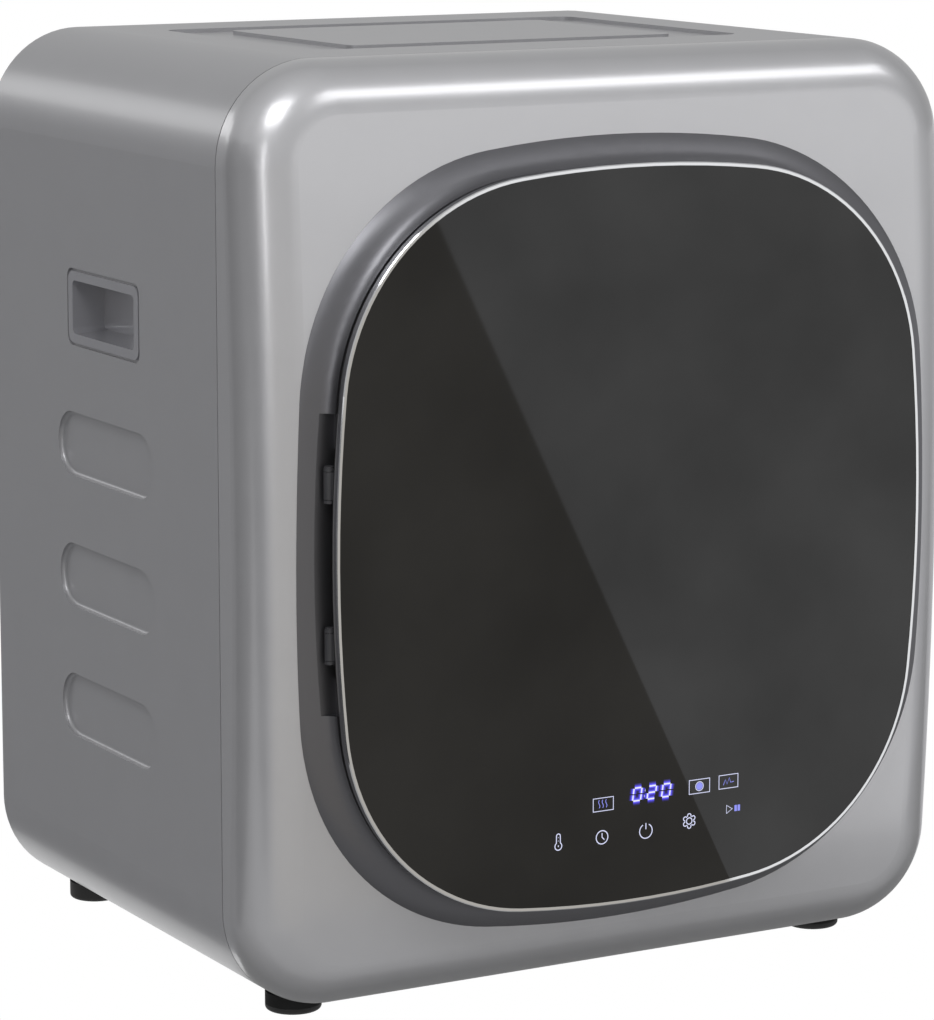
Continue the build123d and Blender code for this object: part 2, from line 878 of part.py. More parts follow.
with BuildPart() as bearing_housing:
    back = rear_bulk + sheet_t
    seat_r = bush_r + bush_t + seat_gap
    add(ring(0, door_z, [(seat_r, back), (housing_r, back), (housing_r, back + hub_t), (hub_boss_r + hub_t, back + 2 * hub_t),
                         (hub_boss_r - hub_t, housing_end_y), (seat_r, housing_end_y)]))
save(bearing_housing, "bearing_housing")

with BuildPart() as shaft_clip:
    clip_y = housing_end_y + clip_gap
    add(tube(0, door_z, shaft_r + seat_gap, shaft_r + clip_w, clip_y, clip_y + clip_t))
save(shaft_clip, "shaft_clip")

with BuildPart() as rear_felt:
    rear_felt_r = drum_r - rear_felt_out
    add(tube(0, door_z, rear_felt_r - rear_felt_w, rear_felt_r, drum_end_y + rim_gap, rear_bulk))
save(rear_felt, "rear_felt")


# Bulkheads, base and rear panel


def bulkhead(y, inset):
    """A sheet across the cabinet with its rim turned to the rear, inset from the wrap's inner face."""
    rim_w = inner_w - 2 * inset
    rim_h = inner_h - 2 * inset
    rim_r = body_r - wrap_t - inset
    with BuildPart() as sheet:
        with BuildSketch(at_y(y)):
            with Locations((0, mid_z)):
                RectangleRounded(rim_w, rim_h, rim_r)
        extrude(amount=-sheet_t)
        with BuildSketch(at_y(y + sheet_t)):
            with Locations((0, mid_z)):
                RectangleRounded(rim_w, rim_h, rim_r)
                RectangleRounded(rim_w - 2 * sheet_t, rim_h - 2 * sheet_t, rim_r - sheet_t, mode=Mode.SUBTRACT)
        extrude(amount=-bulk_flange)
    return sheet.part


duct_floor_z = base_z + lint_low
duct_roof_z = base_z + lint_top

with BuildPart() as front_bulkhead:
    add(bulkhead(bulk_y, 2 * rim_gap + tongue_t))
    with BuildSketch(at_y(bulk_y)):
        with Locations((0, door_z)):
            Circle(felt_seat_r + rim_gap)
        with Locations(((lint_right - lint_half_w) / 2, (duct_floor_z + duct_roof_z) / 2)):
            Rectangle(lint_right + lint_half_w + 2 * rim_gap, duct_roof_z - duct_floor_z + 2 * rim_gap)
    extrude(amount=-sheet_t, mode=Mode.SUBTRACT)
save(front_bulkhead, "front_bulkhead")

with BuildPart() as rear_bulkhead:
    add(bulkhead(rear_bulk, rim_gap))
    with BuildSketch(at_y(rear_bulk)):
        with Locations((0, door_z)):
            Circle(bush_r + bush_t + rim_gap)
        with Locations((motor_x, motor_z)):
            Circle(fan_eye_r)
        with Locations((0, heater_z)):
            Rectangle(heater_w - 2 * heater_lip, heater_h - 2 * heater_lip)
    extrude(amount=-sheet_t, mode=Mode.SUBTRACT)
save(rear_bulkhead, "rear_bulkhead")

with BuildPart() as base_plate:
    with BuildSketch(Plane.XY.offset(base_z + wrap_t)):
        with Locations((0, (base_y0 + base_y1) / 2)):
            Rectangle(2 * base_half_w, base_y1 - base_y0)
    extrude(amount=sheet_t)
    for side in (-1, 1):
        with BuildSketch(Plane.XY.offset(base_z + wrap_t + sheet_t)):
            with Locations((side * (base_half_w - sheet_t / 2), (base_y0 + base_y1) / 2)):
                Rectangle(sheet_t, base_y1 - base_y0)
        extrude(amount=base_wall_h)
save(base_plate, "base_plate")

with BuildPart() as rear_panel:
    with BuildSketch(at_y(rear_y)):
        with Locations((0, mid_z)):
            RectangleRounded(body_w - 2 * rear_inset, body_h - 2 * rear_inset, body_r - rear_inset)
        with Locations((duct_x, duct_z)):
            Circle(duct_r + rim_gap, mode=Mode.SUBTRACT)
        with Locations((gland_x, gland_z)):
            Circle(gland_r + rim_gap, mode=Mode.SUBTRACT)
        with Locations((0, heater_z)):
            with GridLocations(louvre_len, louvre_pitch, 1, louvre_rows):
                Rectangle(louvre_len - 2 * louvre_t, louvre_slot, mode=Mode.SUBTRACT)
    extrude(amount=-rear_t)
    for i in range(louvre_rows):
        z = heater_z + (i - (louvre_rows - 1) / 2) * louvre_pitch
        with BuildSketch(at_x(-louvre_len / 2)):
            with BuildLine():
                Polyline((rear_face_y, z + louvre_up), (rear_face_y + louvre_out, z + louvre_t),
                         (rear_face_y + louvre_out, z - louvre_low), (rear_face_y + louvre_out - louvre_t, z - louvre_low),
                         (rear_face_y + louvre_out - louvre_t, z + louvre_t / 2),
                         (rear_face_y, z + louvre_up - louvre_t), close=True)
            make_face()
        extrude(amount=louvre_len)
save(rear_panel, "rear_panel")

with BuildPart() as exhaust_collar:
    add(ring(duct_x, duct_z, [(duct_r - duct_t, fan_y1), (duct_r, fan_y1), (duct_r, rear_face_y),
                              (duct_r + collar_flange, rear_face_y), (duct_r + collar_flange, rear_face_y + collar_t),
                              (duct_r, rear_face_y + collar_t), (duct_r, rear_face_y + duct_len),
                              (duct_r - duct_t, rear_face_y + duct_len)]))
save(exhaust_collar, "exhaust_collar")

with BuildPart() as cord_gland:
    gland_end_y = rear_face_y + gland_len
    add(ring(gland_x, gland_z, [(gland_bore_r, rear_y - 2 * gland_rim), (gland_r, rear_y - 2 * gland_rim),
                                (gland_r, rear_face_y), (gland_r + gland_rim, rear_face_y),
                                (gland_r + gland_rim, rear_face_y + gland_rim), (gland_r, gland_end_y),
                                (gland_bore_r, gland_end_y)]))
save(cord_gland, "cord_gland")

screw_spots = []
for side in (-1, 1):
    screw_spots += [(side * (body_w / 2 - screw_inset), mid_z + row * screw_rows) for row in (-1, 0, 1)]
    screw_spots += [(column * screw_columns, mid_z + side * (body_h / 2 - screw_inset)) for column in (-1, 0, 1)]
with BuildPart() as rear_screws:
    for x, z in screw_spots:
        with BuildSketch(at_y(rear_face_y)):
            with Locations((x, z)):
                Circle(screw_r)
        extrude(amount=-screw_head)
    fillet(rear_screws.faces().group_by(Axis.Y)[-1].edges(), screw_edge)
save(rear_screws, "rear_screws")


# Handle cups

for side, name in ((-1, "left"), (1, "right")):
    skin_x = side * (body_w / 2 - handle_recess)
    with BuildPart() as handle_cup:
        centre = (seam_y + side_mid, base_z + handle_above_base)
        with BuildSketch(at_x(skin_x)):
            with Locations(centre):
                RectangleRounded(handle_w, handle_h, handle_r)
        extrude(amount=side * handle_recess)
        with BuildSketch(at_x(side * body_w / 2)):
            with Locations(centre):
                RectangleRounded(handle_open_w + 2 * handle_wall, handle_open_h + 2 * handle_wall,
                                 handle_open_r + handle_wall / 2)
        extrude(amount=-side * (handle_depth + handle_wall))
        with BuildSketch(at_x(side * body_w / 2)):
            with Locations(centre):
                RectangleRounded(handle_open_w, handle_open_h, handle_open_r)
        extrude(amount=-side * handle_depth, taper=handle_taper, mode=Mode.SUBTRACT)
    save(handle_cup, f"handle_cup_{name}")


# Feet

for fore, y in (("front", seam_y + foot_front_inset), ("rear", rear_y - foot_rear_inset)):
    for side, hand in ((-1, "left"), (1, "right")):
        with BuildPart() as foot:
            with BuildSketch():
                with Locations((side * foot_x, y)):
                    Circle(foot_r)
            extrude(amount=foot_h)
            fillet(foot.edges().group_by(Axis.Z)[0], foot_edge_r)
        save(foot, f"foot_{fore}_{hand}")


# Motor


def axial(centre_x, centre_z, r, y0, y1):
    """A plain round bar about an axis from front to rear."""
    return tube(centre_x, centre_z, 0, r, y0, y1)


with BuildPart() as motor_body:
    bore = motor_shaft_r + running_gap
    bell_r = motor_r - bell_in
    half = [(bore, motor_y0 - boss_len), (boss_r, motor_y0 - boss_len), (boss_r + 2, motor_y0),
            (bell_r - bell_round, motor_y0 + bell_in), (bell_r, motor_y0 + bell_in + bell_round),
            (bell_r, motor_y0 + bell_len), (motor_r, motor_y0 + bell_len)]
    other = [(r, motor_y0 + motor_y1 - y) for r, y in reversed(half)]
    add(ring(motor_x, motor_z, half + other))
save(motor_body, "motor_body")

belt_y0 = motor_y0 - belt_before_motor - belt_w / 2
belt_y1 = belt_y0 + belt_w
pulley_y0 = belt_y0 - rim_t - rim_clear
pulley_y1 = belt_y1 + rim_t + rim_clear
impeller_y0 = rear_bulk + sheet_t + fan_front
impeller_y1 = impeller_y0 + fan_len
bore_r = motor_shaft_r + seat_gap
with BuildPart() as motor_shaft:
    add(axial(motor_x, motor_z, motor_shaft_r, pulley_y0 - shaft_stub, impeller_y1 + shaft_stub))
save(motor_shaft, "motor_shaft")

with BuildPart() as motor_pulley:
    add(ring(motor_x, motor_z, [(bore_r, pulley_y0), (pulley_r + rim_h, pulley_y0), (pulley_r + rim_h, pulley_y0 + rim_t),
                                (pulley_r, pulley_y0 + rim_t), (pulley_r, pulley_y1 - rim_t),
                                (pulley_r + rim_h, pulley_y1 - rim_t), (pulley_r + rim_h, pulley_y1),
                                (bore_r, pulley_y1)]))
save(motor_pulley, "motor_pulley")

with BuildSketch() as fan_blade:
    tip = (blade_out_r * cos(radians(blade_sweep)), blade_out_r * sin(radians(blade_sweep)))
    belly = ((blade_in_r + tip[0]) / 2 + blade_bow, tip[1] / 2 - blade_bow)
    with BuildLine():
        ThreePointArc((blade_in_r, 0), belly, tip)
    trace(line_width=blade_thick)

with BuildPart() as fan_impeller:
    plate_y = impeller_y1 - fan_plate
    add(ring(motor_x, motor_z, [(bore_r, impeller_y1 - fan_hub_len), (fan_hub_r, impeller_y1 - fan_hub_len),
                                (fan_hub_r + fan_plate, plate_y), (fan_r, plate_y), (fan_r, impeller_y1),
                                (bore_r, impeller_y1)]))
    with BuildSketch(at_y(impeller_y0)):
        with Locations((motor_x, motor_z)):
            with PolarLocations(0, fan_blades):
                add(fan_blade.sketch)
    extrude(amount=impeller_y0 - plate_y - fan_plate / 2)
    add(tube(motor_x, motor_z, fan_r - shroud_w, fan_r, impeller_y0 - shroud_t, impeller_y0))
save(fan_impeller, "fan_impeller")


def scroll(inset, y0, y1):
    """The fan's spiral, three quarter turns that grow, and the chamber before the exhaust, shrunk by inset."""
    r = scroll_r - inset
    rise = scroll_growth
    roof = motor_z + rise + r + 2 * rise
    lip = roof - scroll_mouth + 2 * inset
    with BuildPart() as form:
        with BuildSketch(at_y(y0)):
            with BuildLine():
                CenterArc((motor_x, motor_z), r, 180, 90)
                CenterArc((motor_x, motor_z + rise), r + rise, 270, 90)
                CenterArc((motor_x - rise, motor_z + rise), r + 2 * rise, 0, 90)
                Polyline((motor_x - rise, roof), (duct_x, roof), (duct_x, lip), (motor_x - r, lip), (motor_x - r, motor_z))
            make_face()
            with Locations((duct_x, duct_z)):
                box_side = 2 * (duct_r + scroll_wide - inset)
                RectangleRounded(box_side, box_side, scroll_corner - inset)
        extrude(amount=y0 - y1)
    return form.part


fan_y0 = rear_bulk + sheet_t
with BuildPart() as fan_housing:
    add(scroll(0, fan_y0, fan_y1))
    add(scroll(scroll_t, fan_y0, fan_y1 - scroll_t), mode=Mode.SUBTRACT)
    with BuildSketch(at_y(fan_y1)):
        with Locations((duct_x, duct_z)):
            Circle(duct_r - duct_t)
    extrude(amount=2 * scroll_t, both=True, mode=Mode.SUBTRACT)
save(fan_housing, "fan_housing")


# Motor bracket, idler and belt

arm_y0 = belt_y1 + arm_clear
upright_y = motor_y0 + cradle_in
foot_x0 = motor_x + cradle_toe - bracket_foot
cradle_low = motor_z - cradle_drop
with BuildPart() as motor_bracket:
    for y in (upright_y, motor_y1 - cradle_in - bracket_t):
        with BuildSketch(at_y(y)):
            with BuildLine():
                Polyline((foot_x0, floor_z), (motor_x + cradle_toe, floor_z), (motor_x + bracket_half, cradle_low),
                         (motor_x + bracket_half, motor_z), (motor_x - bracket_half, motor_z),
                         (motor_x - bracket_half, cradle_low), close=True)
            make_face()
            with Locations((motor_x, motor_z)):
                Circle(motor_r + 2 * running_gap, mode=Mode.SUBTRACT)
        extrude(amount=-bracket_t)
    with BuildSketch(Plane.XY.offset(floor_z)):
        with Locations((foot_x0 + bracket_foot / 2, (motor_y0 + motor_y1) / 2)):
            Rectangle(bracket_foot, motor_len - 2 * cradle_in)
    extrude(amount=bracket_t)
    with BuildSketch(at_y(upright_y)):
        with BuildLine():
            Polyline((motor_x + bracket_half - 4, motor_z - arm_w), (arm_pivot_x + arm_w / 2, arm_z - arm_w / 2),
                     (arm_pivot_x + arm_w / 2, arm_z + arm_w / 2), (arm_pivot_x - 3, arm_z + arm_w / 2),
                     (motor_x + bracket_half - 2, motor_z), close=True)
        make_face()
    extrude(amount=-bracket_t)
    add(axial(arm_pivot_x, arm_z, pivot_r, belt_y0, upright_y))
save(motor_bracket, "motor_bracket")

with BuildPart() as idler_arm:
    with BuildSketch(at_y(arm_y0)):
        with BuildLine():
            Line((arm_pivot_x, arm_z), (idler_x, idler_z))
        trace(line_width=arm_waist)
        with Locations((arm_pivot_x, arm_z), (idler_x, idler_z)):
            Circle(arm_w / 2)
        with Locations((arm_pivot_x, arm_z)):
            Circle(pivot_r + running_gap, mode=Mode.SUBTRACT)
    extrude(amount=-arm_t)
    add(axial(idler_x, idler_z, idler_pin_r, belt_y0 - 2 * rim_t, arm_y0))
save(idler_arm, "idler_arm")

with BuildPart() as idler_pulley:
    add(tube(idler_x, idler_z, idler_pin_r + running_gap, idler_r, belt_y0 - rim_t, belt_y1 + rim_t))
save(idler_pulley, "idler_pulley")

spring_y = arm_y0 + arm_t + rim_gap
with BuildPart() as idler_spring:
    add(tube(arm_pivot_x, arm_z, spring_r, spring_r + spring_t, spring_y, upright_y - rim_gap))
save(idler_spring, "idler_spring")


def tangent(centre_a, r_a, centre_b, r_b, side, crossed):
    """Where a straight run leaves one round and meets the next, on the left (1) or the right (-1) of a to b."""
    dx = centre_b[0] - centre_a[0]
    dz = centre_b[1] - centre_a[1]
    span = hypot(dx, dz)
    reach = r_a + r_b if crossed else r_a - r_b
    angle = atan2(dz, dx) + side * acos(reach / span)
    sign = -1 if crossed else 1
    start = (centre_a[0] + r_a * cos(angle), centre_a[1] + r_a * sin(angle))
    end = (centre_b[0] + sign * r_b * cos(angle), centre_b[1] + sign * r_b * sin(angle))
    return start, end


def belt_loop(thick):
    """The belt's inner (0) or outer edge as a closed face about drum, motor pulley and idler."""
    drum_c = (0, door_z)
    motor_c = (motor_x, motor_z)
    idler_c = (idler_x, idler_z)
    drum_b = drum_r + belt_gap + thick
    motor_b = pulley_r + belt_gap + thick
    idler_b = idler_r + belt_gap + belt_t - thick
    low_a, low_b = tangent(drum_c, drum_b, motor_c, motor_b, -1, False)
    up_a, up_b = tangent(motor_c, motor_b, idler_c, idler_b, -1, True)
    top_a, top_b = tangent(idler_c, idler_b, drum_c, drum_b, 1, True)
    under = (motor_x + motor_b * cos(-0.9), motor_z + motor_b * sin(-0.9))
    inward = (idler_x - idler_b, idler_z)
    over = (0, door_z + drum_b)
    with BuildSketch() as face:
        with BuildLine():
            Line(low_a, low_b)
            ThreePointArc(low_b, under, up_a)
            Line(up_a, up_b)
            ThreePointArc(up_b, inward, top_a)
            Line(top_a, top_b)
            ThreePointArc(top_b, over, low_a)
        make_face()
    return face.sketch


with BuildPart() as drum_belt:
    with BuildSketch(at_y(belt_y0)):
        add(belt_loop(belt_t))
        add(belt_loop(0), mode=Mode.SUBTRACT)
    extrude(amount=-belt_w)
save(drum_belt, "drum_belt")


# Lint duct and filter


def lint_passage(inset):
    """The air's way from the mouth under the drum to the fan's eye, shrunk by inset."""
    box_top = door_z - lint_box_below_axis
    with BuildPart() as way:
        with BuildSketch(at_y(bulk_y - lint_depth + inset)):
            with Locations((0, (duct_floor_z + box_top) / 2 + inset / 2)):
                Rectangle(2 * (lint_half_w + mouth_flange_t - inset), box_top - duct_floor_z - inset)
            with Locations((0, door_z)):
                Circle(mouth_out + rim_gap - inset, mode=Mode.SUBTRACT)
        extrude(amount=-lint_depth + 2 * inset + mouth_flange_t + rim_gap)
        with BuildSketch(at_y(bulk_y - mouth_flange_t - rim_gap)):
            with Locations(((lint_right - lint_half_w) / 2, (duct_floor_z + duct_roof_z) / 2)):
                Rectangle(lint_right + lint_half_w - 2 * inset, duct_roof_z - duct_floor_z - 2 * inset)
        extrude(amount=bulk_y - mouth_flange_t - rim_gap - rear_bulk + inset)
        with BuildSketch(at_y(chamber_y + inset)):
            with Locations((motor_x, motor_z)):
                Circle(chamber_r - inset)
            with Locations(((lint_right + motor_x) / 2 - 1, (duct_floor_z + duct_roof_z) / 2)):
                Rectangle(motor_x - lint_right + 2, duct_roof_z - duct_floor_z - 2 * inset)
        extrude(amount=chamber_y + inset - rear_bulk)
    return way.part


with BuildPart() as lint_duct:
    add(lint_passage(0))
    add(lint_passage(lint_t), mode=Mode.SUBTRACT)
    add(axial(motor_x, motor_z, motor_shaft_r + lint_t, chamber_y - lint_t, chamber_y + 2 * lint_t), mode=Mode.SUBTRACT)
save(lint_duct, "lint_duct")

filter_z = door_z - mouth_r - filter_h / 2
window_w = 2 * (filter_half_w - filter_rail)
window_h = filter_h - 2 * filter_rail - 2
window_z = filter_z - filter_rail / 2
with BuildPart() as lint_filter_frame:
    with BuildSketch(at_y(filter_y)):
        with Locations((0, filter_z + filter_h / 4)):
            Rectangle(2 * filter_half_w, 3 * filter_h / 2)
        with Locations((0, door_z)):
            Circle(mouth_r, mode=Mode.SUBTRACT)
        with Locations((0, window_z)):
            Rectangle(window_w, window_h, mode=Mode.SUBTRACT)
    extrude(amount=-filter_t)
    with BuildSketch(at_y(filter_y)):
        with Locations((0, window_z)):
            with GridLocations(window_w / (filter_bars + 1), 1, filter_bars, 1):
                Rectangle(filter_bar_w, window_h + 2)
    extrude(amount=-(filter_t - mesh_t) / 2 + running_gap)
save(lint_filter_frame, "lint_filter_frame")

with BuildPart() as lint_filter_mesh:
    with BuildSketch(at_y(filter_y + filter_t / 2 - mesh_t / 2)):
        with Locations((0, window_z)):
            Rectangle(window_w - 4 * running_gap, window_h - 4 * running_gap)
    extrude(amount=-mesh_t)
save(lint_filter_mesh, "lint_filter_mesh")


# Heater

with BuildPart() as heater_housing:
    with BuildSketch(at_y(rear_bulk + sheet_t)):
        with Locations((0, heater_z)):
            Rectangle(heater_w, heater_h)
    extrude(amount=-heater_d)
    with BuildSketch(at_y(rear_bulk + sheet_t)):
        with Locations((0, heater_z)):
            Rectangle(heater_w - 2 * sheet_t, heater_h - 2 * sheet_t)
    extrude(amount=-heater_d, mode=Mode.SUBTRACT)
    with BuildSketch(at_y(rear_bulk + sheet_t)):
        with Locations((0, heater_z)):
            Rectangle(heater_w + 2 * heater_flange, heater_h + 2 * heater_flange)
            Rectangle(heater_w, heater_h, mode=Mode.SUBTRACT)
    extrude(amount=-sheet_t)
save(heater_housing, "heater_housing")

with BuildPart() as heater_element:
    with BuildSketch(at_y(rear_bulk + sheet_t + strip_gap)):
        with Locations((0, heater_z)):
            Rectangle(heater_w - 2 * sheet_t - 2 * rim_gap, strip_h)
            with GridLocations(strip_pitch, 1, strip_slots, 1):
                Rectangle(slot_w, strip_h - slot_short, mode=Mode.SUBTRACT)
    extrude(amount=-strip_d)
save(heater_element, "heater_element")

with BuildPart() as thermostats:
    stat_y = rear_bulk + sheet_t + heater_d / 2
    for z in (heater_z - stat_off, heater_z + stat_off):
        with BuildSketch(at_x(heater_w / 2)):
            with Locations((stat_y, z)):
                Circle(stat_r)
        extrude(amount=stat_h)
        with BuildSketch(at_x(heater_w / 2 + stat_h)):
            with Locations((stat_y, z - stat_r / 2), (stat_y, z + stat_r / 2)):
                Rectangle(blade_w, blade_t)
        extrude(amount=blade_len)
save(thermostats, "thermostats")


# Electrics

cap_y0 = base_y0 + cap_front
with BuildPart() as motor_capacitor:
    add(axial(cap_x, cap_z, cap_r, cap_y0, cap_y0 + cap_len))
    with BuildSketch(Plane.XY.offset(floor_z)):
        with Locations((cap_x, cap_y0 + cap_len / 2)):
            Rectangle(cap_foot_w, cap_foot_d)
    extrude(amount=cap_z - floor_z - cap_r + 1.5)
save(motor_capacitor, "motor_capacitor")

box_y = base_y1 - box_d / 2
board_z = floor_z + box_t + post_h
with BuildPart() as control_box:
    with BuildSketch(Plane.XY.offset(floor_z)):
        with Locations((box_x, box_y)):
            RectangleRounded(box_w, box_d, box_r)
    extrude(amount=box_h)
    with BuildSketch(Plane.XY.offset(floor_z + box_t)):
        with Locations((box_x, box_y)):
            RectangleRounded(box_w - 2 * box_t, box_d - 2 * box_t, box_r - box_t)
    extrude(amount=box_h, mode=Mode.SUBTRACT)
    with BuildSketch(Plane.XY.offset(floor_z + box_t)):
        with Locations((box_x, box_y)):
            with GridLocations(box_w - 2 * post_in, box_d - 2 * post_in, 2, 2):
                Circle(post_r)
    extrude(amount=post_h)
save(control_box, "control_box")

with BuildPart() as control_board:
    with BuildSketch(Plane.XY.offset(board_z)):
        with Locations((box_x, box_y)):
            Rectangle(box_w - 2 * board_in, box_d - 2 * board_in)
    extrude(amount=board_t)
    with BuildSketch(Plane.XY.offset(board_z + board_t)):
        with Locations((box_x, box_y)):
            with GridLocations(box_w - 2 * board_in - relay_w - 2 * relay_in, 2 * relay_d, 2, 2):
                Rectangle(relay_w, relay_d)
    extrude(amount=relay_h)
save(control_board, "control_board")
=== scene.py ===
import math
import bpy
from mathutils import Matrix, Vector


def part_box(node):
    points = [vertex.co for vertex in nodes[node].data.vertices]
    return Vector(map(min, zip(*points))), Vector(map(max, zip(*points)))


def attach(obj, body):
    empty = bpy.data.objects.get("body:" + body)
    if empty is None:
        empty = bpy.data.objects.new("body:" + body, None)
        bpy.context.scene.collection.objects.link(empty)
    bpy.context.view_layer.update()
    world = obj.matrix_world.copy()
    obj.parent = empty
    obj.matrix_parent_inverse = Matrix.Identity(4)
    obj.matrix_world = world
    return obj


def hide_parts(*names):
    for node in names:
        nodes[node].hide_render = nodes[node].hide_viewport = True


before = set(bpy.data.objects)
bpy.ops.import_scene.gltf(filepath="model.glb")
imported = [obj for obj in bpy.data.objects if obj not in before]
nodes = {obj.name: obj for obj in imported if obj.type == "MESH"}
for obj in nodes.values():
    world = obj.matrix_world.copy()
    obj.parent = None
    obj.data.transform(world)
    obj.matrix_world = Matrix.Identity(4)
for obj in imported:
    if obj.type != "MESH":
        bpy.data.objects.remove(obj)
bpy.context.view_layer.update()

# Vented tumble dryer: a silver cabinet with a pillow-shaped black glass door.
# All lengths are in metres; X is to the right, Y to the rear, Z up, and the floor is at 0.

MM = 0.001
GLASS_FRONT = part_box("door_glass")[0][1]
SURROUND_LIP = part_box("door_surround")[0][1]
# The display's heights are measured from the cabinet's base, which is this far above the floor
DISPLAY_BASE = 12 * MM
# How much a lacquer's roughness wanders, and how close together a moulding's clouds of colour are
GLOSS_WANDER = 0.02
CLOUDS_PER_METRE = 9.0


# Materials


def linear(code):
    """An sRGB hex colour as linear values."""
    parts = [int(code[i:i + 2], 16) / 255 for i in (1, 3, 5)]
    return [p / 12.92 if p <= 0.04045 else ((p + 0.055) / 1.055) ** 2.4 for p in parts] + [1.0]


def add_node(tree, kind, settings=None, links=None):
    """A node with its settings and the sockets that feed it."""
    node = tree.nodes.new(kind)
    for key, value in (settings or {}).items():
        if isinstance(key, int) or key in node.inputs:
            node.inputs[key].default_value = value
        else:
            setattr(node, key, value)
    for key, source in (links or {}).items():
        tree.links.new(source, node.inputs[key])
    return node


def new_material(name, colour, roughness, metallic=0.0, **sockets):
    """A material with its shader; further sockets are named with their spaces as underscores."""
    material = bpy.data.materials.new(name)
    material.use_nodes = True
    shader = material.node_tree.nodes["Principled BSDF"]
    shader.inputs["Base Color"].default_value = linear(colour)
    shader.inputs["Roughness"].default_value = roughness
    shader.inputs["Metallic"].default_value = metallic
    for key, value in sockets.items():
        shader.inputs[key.replace("_", " ")].default_value = value
    return material, material.node_tree, shader


def object_place(tree, scale=(1, 1, 1)):
    """Object coordinates, stretched along the axes."""
    place = add_node(tree, "ShaderNodeTexCoord")
    mapped = add_node(tree, "ShaderNodeMapping", {"Scale": scale}, {"Vector": place.outputs["Object"]})
    return mapped.outputs[0]


def two_tone(tree, shader, value, colour, other, ends=(0.0, 1.0)):
    """Base colour that runs from one sRGB hex colour to the other as value goes from end to end."""
    tint = add_node(tree, "ShaderNodeValToRGB", None, {"Fac": value})
    for stop, end, code in zip(tint.color_ramp.elements, ends, (colour, other)):
        stop.position = end
        stop.color = linear(code)
    tree.links.new(tint.outputs["Color"], shader.inputs["Base Color"])
    return tint.outputs["Color"]


def grained(name, colour, other, roughness, metallic, grain, depth, spread=0.04, stretch=(1, 1, 1),
            **sockets):
    """A finish whose colour and roughness wander a little and whose surface has a grain of a real size."""
    material, tree, shader = new_material(name, colour, roughness, metallic, **sockets)
    place = object_place(tree, stretch)
    broad = add_node(tree, "ShaderNodeTexNoise", {"Scale": CLOUDS_PER_METRE, "Detail": 3.0}, {"Vector": place})
    two_tone(tree, shader, broad.outputs["Fac"], colour, other, (0.3, 0.7))
    fine = add_node(tree, "ShaderNodeTexNoise", {"Scale": 1 / grain, "Detail": 2.0}, {"Vector": place})
    rough = add_node(tree, "ShaderNodeMapRange", {"To Min": roughness - spread, "To Max": roughness + spread},
                     {"Value": fine.outputs["Fac"]})
    tree.links.new(rough.outputs["Result"], shader.inputs["Roughness"])
    bump = add_node(tree, "ShaderNodeBump", {"Strength": 0.5, "Distance": depth},
                    {"Height": fine.outputs["Fac"]})
    tree.links.new(bump.outputs["Normal"], shader.inputs["Normal"])
    return material


def lacquered(name, colour, other, roughness, metallic, wave, flop=1.0, **sockets):
    """A smooth paint whose gloss wanders over waves of a real size; flop dims it where it turns away."""
    material, tree, shader = new_material(name, colour, roughness, metallic, **sockets)
    flow = add_node(tree, "ShaderNodeTexNoise", {"Scale": 1 / wave, "Detail": 2.0},
                    {"Vector": object_place(tree)})
    tint = two_tone(tree, shader, flow.outputs["Fac"], colour, other)
    rough = add_node(tree, "ShaderNodeMapRange",
                     {"To Min": roughness - GLOSS_WANDER, "To Max": roughness + GLOSS_WANDER},
                     {"Value": flow.outputs["Fac"]})
    tree.links.new(rough.outputs["Result"], shader.inputs["Roughness"])
    if flop < 1.0:
        turned = add_node(tree, "ShaderNodeLayerWeight", {"Blend": 0.5})
        dimmed = add_node(tree, "ShaderNodeMapRange",
                          {"From Min": 0.2, "From Max": 0.5, "To Min": 1.0, "To Max": flop},
                          {"Value": turned.outputs["Facing"]})
        shaded = add_node(tree, "ShaderNodeVectorMath", {"operation": "SCALE"},
                          {"Vector": tint, "Scale": dimmed.outputs["Result"]})
        tree.links.new(shaded.outputs["Vector"], shader.inputs["Base Color"])
    return material


# Powder coat on steel: a satin silver skin whose gloss wanders over 30 mm
silver_coat = lacquered("silver_powder_coat_on_steel", "#9d9da0", "#a1a1a4", 0.36, 0.35, 30 * MM,
                        Coat_Weight=0.3, Coat_Roughness=0.16)
# Lacquered front moulding: a lighter, smoother silver, whose flakes look darker where the edge turns away
front_lacquer = lacquered("silver_lacquer_on_abs", "#c2c2c5", "#c7c7ca", 0.30, 0.5, 30 * MM, 0.75,
                          Coat_Weight=0.6, Coat_Roughness=0.10)
# Lacquered handle cups: glossier than the skin round them, so their inner edges catch the light
cup_lacquer = lacquered("silver_lacquer_on_handle_cups", "#97979c", "#9b9ba0", 0.33, 0.4, 30 * MM,
                        Coat_Weight=0.9, Coat_Roughness=0.07)
# Dark grey metallic lacquer on the surround: blurred, so that it glows broadly where it faces a lamp;
# it carries painted shade, going darker and less metallic 24 to 28 mm behind the lip, towards the panel
surround_lacquer = lacquered("dark_grey_lacquer_on_abs", "#707074", "#767679", 0.42, 1.0, 30 * MM,
                             Coat_Weight=0.2, Coat_Roughness=0.30)
tree = surround_lacquer.node_tree
shader = tree.nodes["Principled BSDF"]
# Painted shade: 24 to 28 mm behind the lip, towards the panel, the colour darkens and the metallic falls
behind = add_node(tree, "ShaderNodeSeparateXYZ", None, {"Vector": object_place(tree)})
shade_towards_panel = add_node(tree, "ShaderNodeMapRange",
                {"From Min": SURROUND_LIP + 24 * MM, "From Max": SURROUND_LIP + 28 * MM},
                {"Value": behind.outputs["Y"]})
two_tone(tree, shader, shade_towards_panel.outputs["Result"], "#737377", "#4e4e52")
shaded_metallic = add_node(tree, "ShaderNodeMapRange", {"To Min": 1.0, "To Max": 0.3}, {"Value": shade_towards_panel.outputs["Result"]})
tree.links.new(shaded_metallic.outputs["Result"], shader.inputs["Metallic"])
